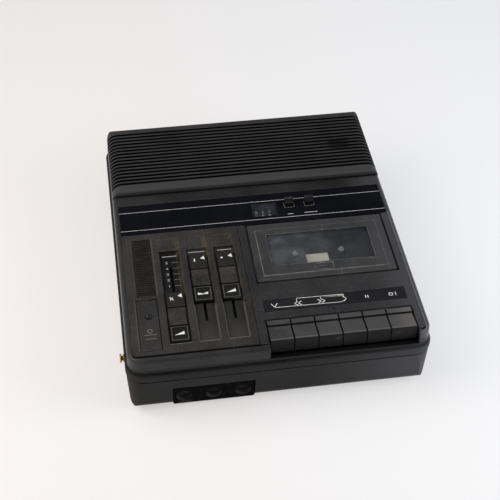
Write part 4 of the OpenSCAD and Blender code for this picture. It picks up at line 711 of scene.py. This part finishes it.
# profile as radius and height
sleeve = {"x": 75.55, "y": -62.0, "steps": 64,
          "profile": ((1.3, 41.0), (3.7, 41.0), (4.0, 41.3), (4.0, 49.0), (6.0, 49.0), (6.0, 50.1),
                      (5.7, 50.4), (3.0, 50.4), (3.0, 53.3), (2.7, 53.6), (1.3, 53.6))}


# turned capstan bearing with a chamfered top, low enough for the pinch roller to pass over it
def makeSleeve():
    turned = bmesh.new()
    rings = []
    for k in range(sleeve["steps"]):
        angle = math.tau * k / sleeve["steps"]
        places = [(sleeve["x"] + r * math.cos(angle), sleeve["y"] + r * math.sin(angle), z)
                  for r, z in sleeve["profile"]]
        rings.append([turned.verts.new((x * mm, y * mm, z * mm)) for x, y, z in places])
    for ring, after in zip(rings, rings[1:] + rings[:1]):
        for i in range(len(ring)):
            j = (i + 1) % len(ring)
            turned.faces.new((ring[i], after[i], after[j], ring[j]))
    bmesh.ops.recalc_face_normals(turned, faces=turned.faces)
    mesh = bpy.data.meshes.new("capstanSleeve")
    turned.to_mesh(mesh)
    turned.free()
    piece = addPiece("capstanSleeve", mesh, oldBrass)
    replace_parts(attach(piece, "case"), "capstan_bearing")


makeSleeve()
print("bearing turned")

inkLook = {"grain": 2500.0, "mottle": 220.0, "rubbedAndLit": (0.0, 0.35), "rough": (0.45, 0.65), "lift": 0.03}


# pale ink, thin and rubbed in places
def makeInk(name, bright, rubbedAndLit):
    material, tree, surface = startMaterial(name)
    grain = useGroup(tree, grainGroup, Scale=inkLook["grain"], Mottle_Scale=inkLook["mottle"])
    worn = ramp(tree, grain.outputs["Mottle"], *inkLook["rubbedAndLit"], 1.0, 0.0)
    tree.links.new(blendColour(tree, worn, bright, rubbedAndLit), surface.inputs["Base Color"])
    rough = ramp(tree, grain.outputs["Height"], 0.0, 1.0, *inkLook["rough"])
    tree.links.new(rough, surface.inputs["Roughness"])
    return material


whiteInk = makeInk("whiteInk", (0.78, 0.78, 0.76), (0.45, 0.45, 0.44))
lineInk = makeInk("lineInk", (0.50, 0.50, 0.50), (0.42, 0.42, 0.42))
greyInk = makeInk("greyInk", (0.30, 0.29, 0.25), (0.12, 0.11, 0.09))
faintInk = makeInk("faintInk", (0.13, 0.125, 0.11), (0.07, 0.068, 0.06))


# a line of given width through points, as one flat quad for each stretch
def stroke(points, width):
    faces = []
    for (ax, ay), (bx, by) in zip(points, points[1:]):
        length = math.hypot(bx - ax, by - ay)
        sx, sy = (bx - ax) / length * width / 2, (by - ay) / length * width / 2
        faces.append([(ax - sx - sy, ay - sy + sx), (ax - sx + sy, ay - sy - sx),
                      (bx + sx + sy, by + sy - sx), (bx + sx - sy, by + sy + sx)])
    return faces


def circle(x, y, r, n=20):
    return [(x + r * math.cos(math.tau * k / n), y + r * math.sin(math.tau * k / n)) for k in range(n)]


# corners in the order that turns a face upwards
def upward(face):
    area = sum(a[0] * b[1] - b[0] * a[1] for a, b in zip(face, face[1:] + face[:1]))
    return face if area > 0 else face[::-1]


# printed faces in mm; place turns a point of a face into a corner
def addInk(name, faces, place, ink):
    corners, loops = [], []
    for face in faces:
        loops.append(list(range(len(corners), len(corners) + len(face))))
        corners += [tuple(v * mm for v in place(*point)) for point in upward(face)]
    mesh = bpy.data.meshes.new(name)
    mesh.from_pydata(corners, [], loops)
    return addPiece(name, mesh, ink)


# the same, laid a hair above a level face
def printMarks(name, faces, level, body, ink):
    piece = addInk(name, faces, lambda x, y: (x, y, level + inkLook["lift"]), ink)
    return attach(piece, body)


fascia = {"x": (-122.5, 122.3), "lines": (6.6, 30.9), "width": 0.5, "level": 68, "labelY": 10.5,
          "labels": ((31.9, 36.6), (47.7, 59.0)), "labelWidth": 0.7}


# two thin lines along the fascia strip and a short line under each button
def makeFascia():
    faces = []
    for y in fascia["lines"]:
        faces += stroke([(x, y) for x in fascia["x"]], fascia["width"])
    for label in fascia["labels"]:
        faces += stroke([(x, fascia["labelY"]) for x in label], fascia["labelWidth"])
    printMarks("fasciaLines", faces, fascia["level"], "case", lineInk)


makeFascia()

buttonRim = {"x": (34.75, 53.75), "y": (19.5, 26.1), "half": 4.6, "width": 0.6, "level": 68}


# dust left round the buttons
def makeButtonDust():
    faces = []
    near, far = buttonRim["y"]
    for x in buttonRim["x"]:
        left, right = x - buttonRim["half"], x + buttonRim["half"]
        faces += stroke([(left, far), (left, near), (right, near), (right, far)], buttonRim["width"])
    printMarks("buttonDust", faces, buttonRim["level"], "case", faintInk)


makeButtonDust()

# transport signs, each from the middle of its key
signs = {"level": 68, "line": 0.68, "thin": 0.48, "keyPitch": 20.5, "first": 1.0, "middle": -102.2,
         "strokes": ((0, "line", ((-2.6, 2.0), (-0.4, -1.9), (2.3, 2.0))),
                     (1, "line", ((-0.7, 2.0), (-3.3, 0), (-0.7, -2.0))),
                     (1, "line", ((2.6, 2.0), (0, 0), (2.6, -2.0))),
                     (2, "line", ((-3.3, 2.0), (-0.7, 0), (-3.3, -2.0))),
                     (2, "line", ((0, 2.0), (2.6, 0), (0, -2.0))),
                     (3, "line", ((-1.8, 2.6), (0.8, 0), (-1.8, -2.6))),
                     (3, "thin", ((-61.7, -2.4), (-4.0, -3.4), (-1.2, -1.6))),
                     (3, "thin", ((-42.2, 2.4), (-41.8, 5.9), (-1.0, 5.5), (-1.4, 2.8))),
                     (2, "thin", ((-0.8, 2.4), (-0.6, 5.6))),
                     (4, "line", ((-2.9, 1.1), (-2.9, -1.2))), (4, "line", ((-0.9, 1.1), (-0.9, -1.2))),
                     (5, "line", ((-2.8, 1.4), (0.3, 1.4), (0.3, -1.5), (-2.8, -1.5), (-2.8, 1.4))),
                     (5, "line", ((3.0, 1.6), (3.0, -0.4))), (5, "line", ((3.0, -1.6), (3.0, -1.7)))),
         "wedge": (3, ((-20.9, 4.2), (-1.4, 3.2), (-1.4, 5.3)))}


def byKey(i, points):
    x = signs["first"] + i * signs["keyPitch"]
    return [(x + u, signs["middle"] + v) for u, v in points]


def makeSigns():
    faces = []
    for i, width, points in signs["strokes"]:
        faces += stroke(byKey(i, points), signs[width])
    printMarks("transportSigns", faces, signs["level"], "case", whiteInk)
    printMarks("speedWedge", [byKey(*signs["wedge"])], signs["level"], "case", greyInk)


makeSigns()

# plain figures drawn as strokes in a box 2 wide and 3 high
figures = {0: [[(0, 0), (2, 0), (2, 3), (0, 3), (0, 0)]], 1: [[(0.5, 2.4), (1.1, 3), (1.1, 0)]],
           2: [[(0, 3), (2, 3), (2, 1.6), (0, 1.3), (0, 0), (2, 0)]],
           3: [[(0, 3), (2, 3), (1, 1.7), (2, 1.4), (2, 0), (0, 0)]],
           4: [[(1.5, 0), (1.5, 3), (0, 1), (2, 1)]],
           5: [[(2, 3), (0, 3), (0, 1.6), (2, 1.5), (2, 0), (0, 0)]],
           6: [[(2, 3), (0, 2.2), (0, 0), (2, 0), (2, 1.5), (0, 1.5)]], 7: [[(0, 3), (2, 3), (0.7, 0)]],
           8: [[(0, 0), (2, 0), (2, 3), (0, 3), (0, 0)], [(0, 1.5), (2, 1.5)]],
           9: [[(2, 1.5), (0, 1.5), (0, 3), (2, 3), (2, 0), (0, 0)]]}
figureMiddle = (1, 1.5)


def figure(value, x, y, size, width):
    faces = []
    for line in figures[value]:
        points = [(x + (u - figureMiddle[0]) * size, y + (v - figureMiddle[1]) * size) for u, v in line]
        faces += stroke(points, width)
    return faces


scale = {"level": 65.5, "ticks": (-36.3, -43.6, -50.6, -57.6, -64.9), "tickX": (-80.3, -75.1),
         "tickWidth": 0.35, "figureX": -85.3, "figureSize": 0.75, "figureWidth": 0.45, "captionWidth": 0.7,
         "captions": ((-88.5, -76.0, -28.3), (-64.9, -50.8, -25.6), (-38.5, -26.4, -25.9))}


# scale of the first lane: five ticks and figures, with plain caption lines over the lanes
def makeScale():
    ticks, values = [], []
    for k, y in enumerate(scale["ticks"]):
        ticks += stroke([(x, y) for x in scale["tickX"]], scale["tickWidth"])
        value = len(scale["ticks"]) - k
        values += figure(value, scale["figureX"], y, scale["figureSize"], scale["figureWidth"])
    for left, right, y in scale["captions"]:
        values += stroke([(left, y), (right, y)], scale["captionWidth"])
    printMarks("laneTicks", ticks, scale["level"], "case", greyInk)
    printMarks("laneFigures", values, scale["level"], "case", lineInk)


makeScale()

# marks from the middle of each knob: arrow and small sign on the rear tile, another sign in the sunk field
knobMarks = {"top": 69.2, "field": 68.5, "arrow": ((2.2, 23.3), (5.7, 26.0), (6.1, 21.1)),
             "cross": (((-4.4, 21.8), (-1.8, 19.0)), ((-4.2, 19.2), (-2.2, 21.6))), "crossWidth": 0.8,
             "bar": ((-3.0, 22.8), (-3.0, 20.2)), "barWidth": 1.0, "dot": (-3.3, 21.7, 1.0),
             "wedge": ((-4.4, -20.6), (4.0, -20.3), (3.8, -16.8)),
             "bow": (((-4.6, -17.4), (-4.5, -20.4), (-0.2, -20.0), (-0.2, -19.3)),
                     ((-0.2, -19.3), (-0.2, -20.0), (4.2, -20.3), (4.3, -17.5)))}


def makeKnobMarks():
    for name, (x, y) in knobPlaces.items():
        def at(points):
            return [(x + u, y + v) for u, v in points]
        top = [at(knobMarks["arrow"])]
        field = [at(knobMarks["wedge"])]
        if name == "volume_knob":
            for line in knobMarks["cross"]:
                top += stroke(at(line), knobMarks["crossWidth"])
        elif name == "tone_knob":
            top += stroke(at(knobMarks["bar"]), knobMarks["barWidth"])
            field = [at(half) for half in knobMarks["bow"]]
        else:
            top += [at(circle(*knobMarks["dot"]))]
        printMarks(name + "Arrow", top, knobMarks["top"], name, whiteInk)
        printMarks(name + "Sign", field, knobMarks["field"], name, whiteInk)


makeKnobMarks()

# ten figures round each counter wheel; each wheel with its place along X and the figure it shows
counter = {"y": 19.3, "z": 57.4, "radius": 7.12, "size": 0.75, "width": 0.6, "lean": 0.05,
           "wheels": (("counter_wheel_hundreds", 3.75, 0), ("counter_wheel_tens", 9.75, 4),
                      ("counter_wheel_ones", 15.75, 7))}


def makeCounterFigures():
    radius = counter["radius"]

    # figures follow each other down the face of a drum that is unrolled along Y
    def wrapped(x, y):
        return (x, counter["y"] + radius * math.sin(y / radius), counter["z"] + radius * math.cos(y / radius))
    for name, x, shown in counter["wheels"]:
        faces = []
        for value in figures:
            turn = (value - shown) * math.tau / len(figures) - counter["lean"]
            faces += figure(value, x, -turn * radius, counter["size"], counter["width"])
        piece = addInk(name + "Figures", faces, wrapped, whiteInk)
        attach(piece, name)


makeCounterFigures()

plate = {"level": 67.6, "ring": (-106.5, -116.7), "radii": (1.5, 2.4), "barWidth": 0.7,
         "bars": ((-111.5, -101.0, -120.8), (-110.0, -102.0, -125.3))}


# faint ring and bars on the indicator plate
def makePlateMarks():
    inner, outer = (circle(*plate["ring"], radius) for radius in plate["radii"])
    faces = []
    for k in range(len(inner)):
        faces.append([inner[k - 1], inner[k], outer[k], outer[k - 1]])
    for left, right, y in plate["bars"]:
        faces += stroke([(left, y), (right, y)], plate["barWidth"])
    printMarks("plateMarks", faces, plate["level"], "case", faintInk)


makePlateMarks()
print("marks printed")

# soft studio: pale floor, a warm softbox close at the left, a cool one at the right, a broad lamp overhead;
# the sky is dim behind the set, so that gloss stays black, and pale along the horizon
studio = {"size": 12, "floor": (0.92, 0.92, 0.93), "floorRough": 0.6, "floorSpecular": 0.1,
          "glow": ((0.90, 0.85, 0.815), (0.945, 0.95, 0.97)), "glowX": (-300, 300), "lift": 0.55,
          "sky": (0.95, 0.97, 1.0), "skyPower": 0.41, "skyBehind": 0.03, "skyTurn": (0.1, 0.6),
          "horizon": 0.74, "horizonBand": (0.25, 0.5), "aim": (0, 0, 0.05),
          "lamps": (("keyLamp", 11.0, (-0.75, 0.45, 1.6), 1.7, (0.97, 0.98, 1.0)),
                    ("coolLamp", 5.4, (0.80, -0.38, 0.46), 0.6, (0.95, 0.98, 1.0)),
                    ("warmLamp", 3.6, (-0.66, -0.12, 0.52), 0.6, (1.0, 0.90, 0.82)))}


def makeLamp(name, power, place, size, colour):
    data = bpy.data.lights.new(name, "AREA")
    data.energy, data.size, data.color = power, size, colour
    lamp = bpy.data.objects.new(name, data)
    lamp.location = place
    lamp.rotation_euler = (Vector(studio["aim"]) - Vector(place)).to_track_quat("-Z", "Y").to_euler()
    bpy.context.scene.collection.objects.link(lamp)


# rays of the eye, of mirrors and of glass
def seenRays(tree):
    rays = addNode(tree, "ShaderNodeLightPath").outputs
    mirrored = larger(tree, rays["Is Glossy Ray"], rays["Is Transmission Ray"])
    return larger(tree, rays["Is Camera Ray"], mirrored)


# part of the pale ground is its own glow, for the eye, mirrors and glass only
def makeFloor():
    reach = studio["size"]
    mesh = bpy.data.meshes.new("studioFloor")
    corners = [(-reach, -reach, 0), (reach, -reach, 0), (reach, reach, 0), (-reach, reach, 0)]
    mesh.from_pydata(corners, [], [(0, 1, 2, 3)])
    floor = bpy.data.objects.new("studioFloor", mesh)
    bpy.context.scene.collection.objects.link(floor)
    material, tree, surface = startMaterial("studioFloor")
    surface.inputs["Base Color"].default_value = (*studio["floor"], 1)
    surface.inputs["Roughness"].default_value = studio["floorRough"]
    surface.inputs["Specular IOR Level"].default_value = studio["floorSpecular"]
    glow = addNode(tree, "ShaderNodeEmission")
    across = slope(tree, placeAxes(tree)[0], *studio["glowX"])
    tree.links.new(blendColour(tree, across, *studio["glow"]), glow.inputs["Color"])
    ground = addNode(tree, "ShaderNodeMixShader")
    tree.links.new(times(tree, seenRays(tree), studio["lift"]), ground.inputs["Fac"])
    tree.links.new(surface.outputs["BSDF"], ground.inputs[1])
    tree.links.new(glow.outputs["Emission"], ground.inputs[2])
    tree.links.new(ground.outputs["Shader"], tree.nodes["Material Output"].inputs["Surface"])
    mesh.materials.append(material)


def makeSky():
    world = bpy.data.worlds.new("studioSky")
    world.use_nodes = True
    tree = world.node_tree
    sky = tree.nodes["Background"]
    sky.inputs["Color"].default_value = (*studio["sky"], 1)
    x, y, z = placeAxes(tree, "Generated")
    power = ramp(tree, y, *studio["skyTurn"], studio["skyPower"], studio["skyBehind"])
    low = times(tree, ramp(tree, z, *studio["horizonBand"], 1.0, 0.0), seenRays(tree))
    pale = times(tree, low, minus(tree, studio["horizon"], power))
    tree.links.new(math2(tree, "ADD", power, pale), sky.inputs["Strength"])
    bpy.context.scene.world = world


makeCamera()
makeFloor()
makeSky()
for lamp in studio["lamps"]:
    makeLamp(*lamp)
bpy.context.scene.view_settings.view_transform = "Standard"
print("camera and studio set")
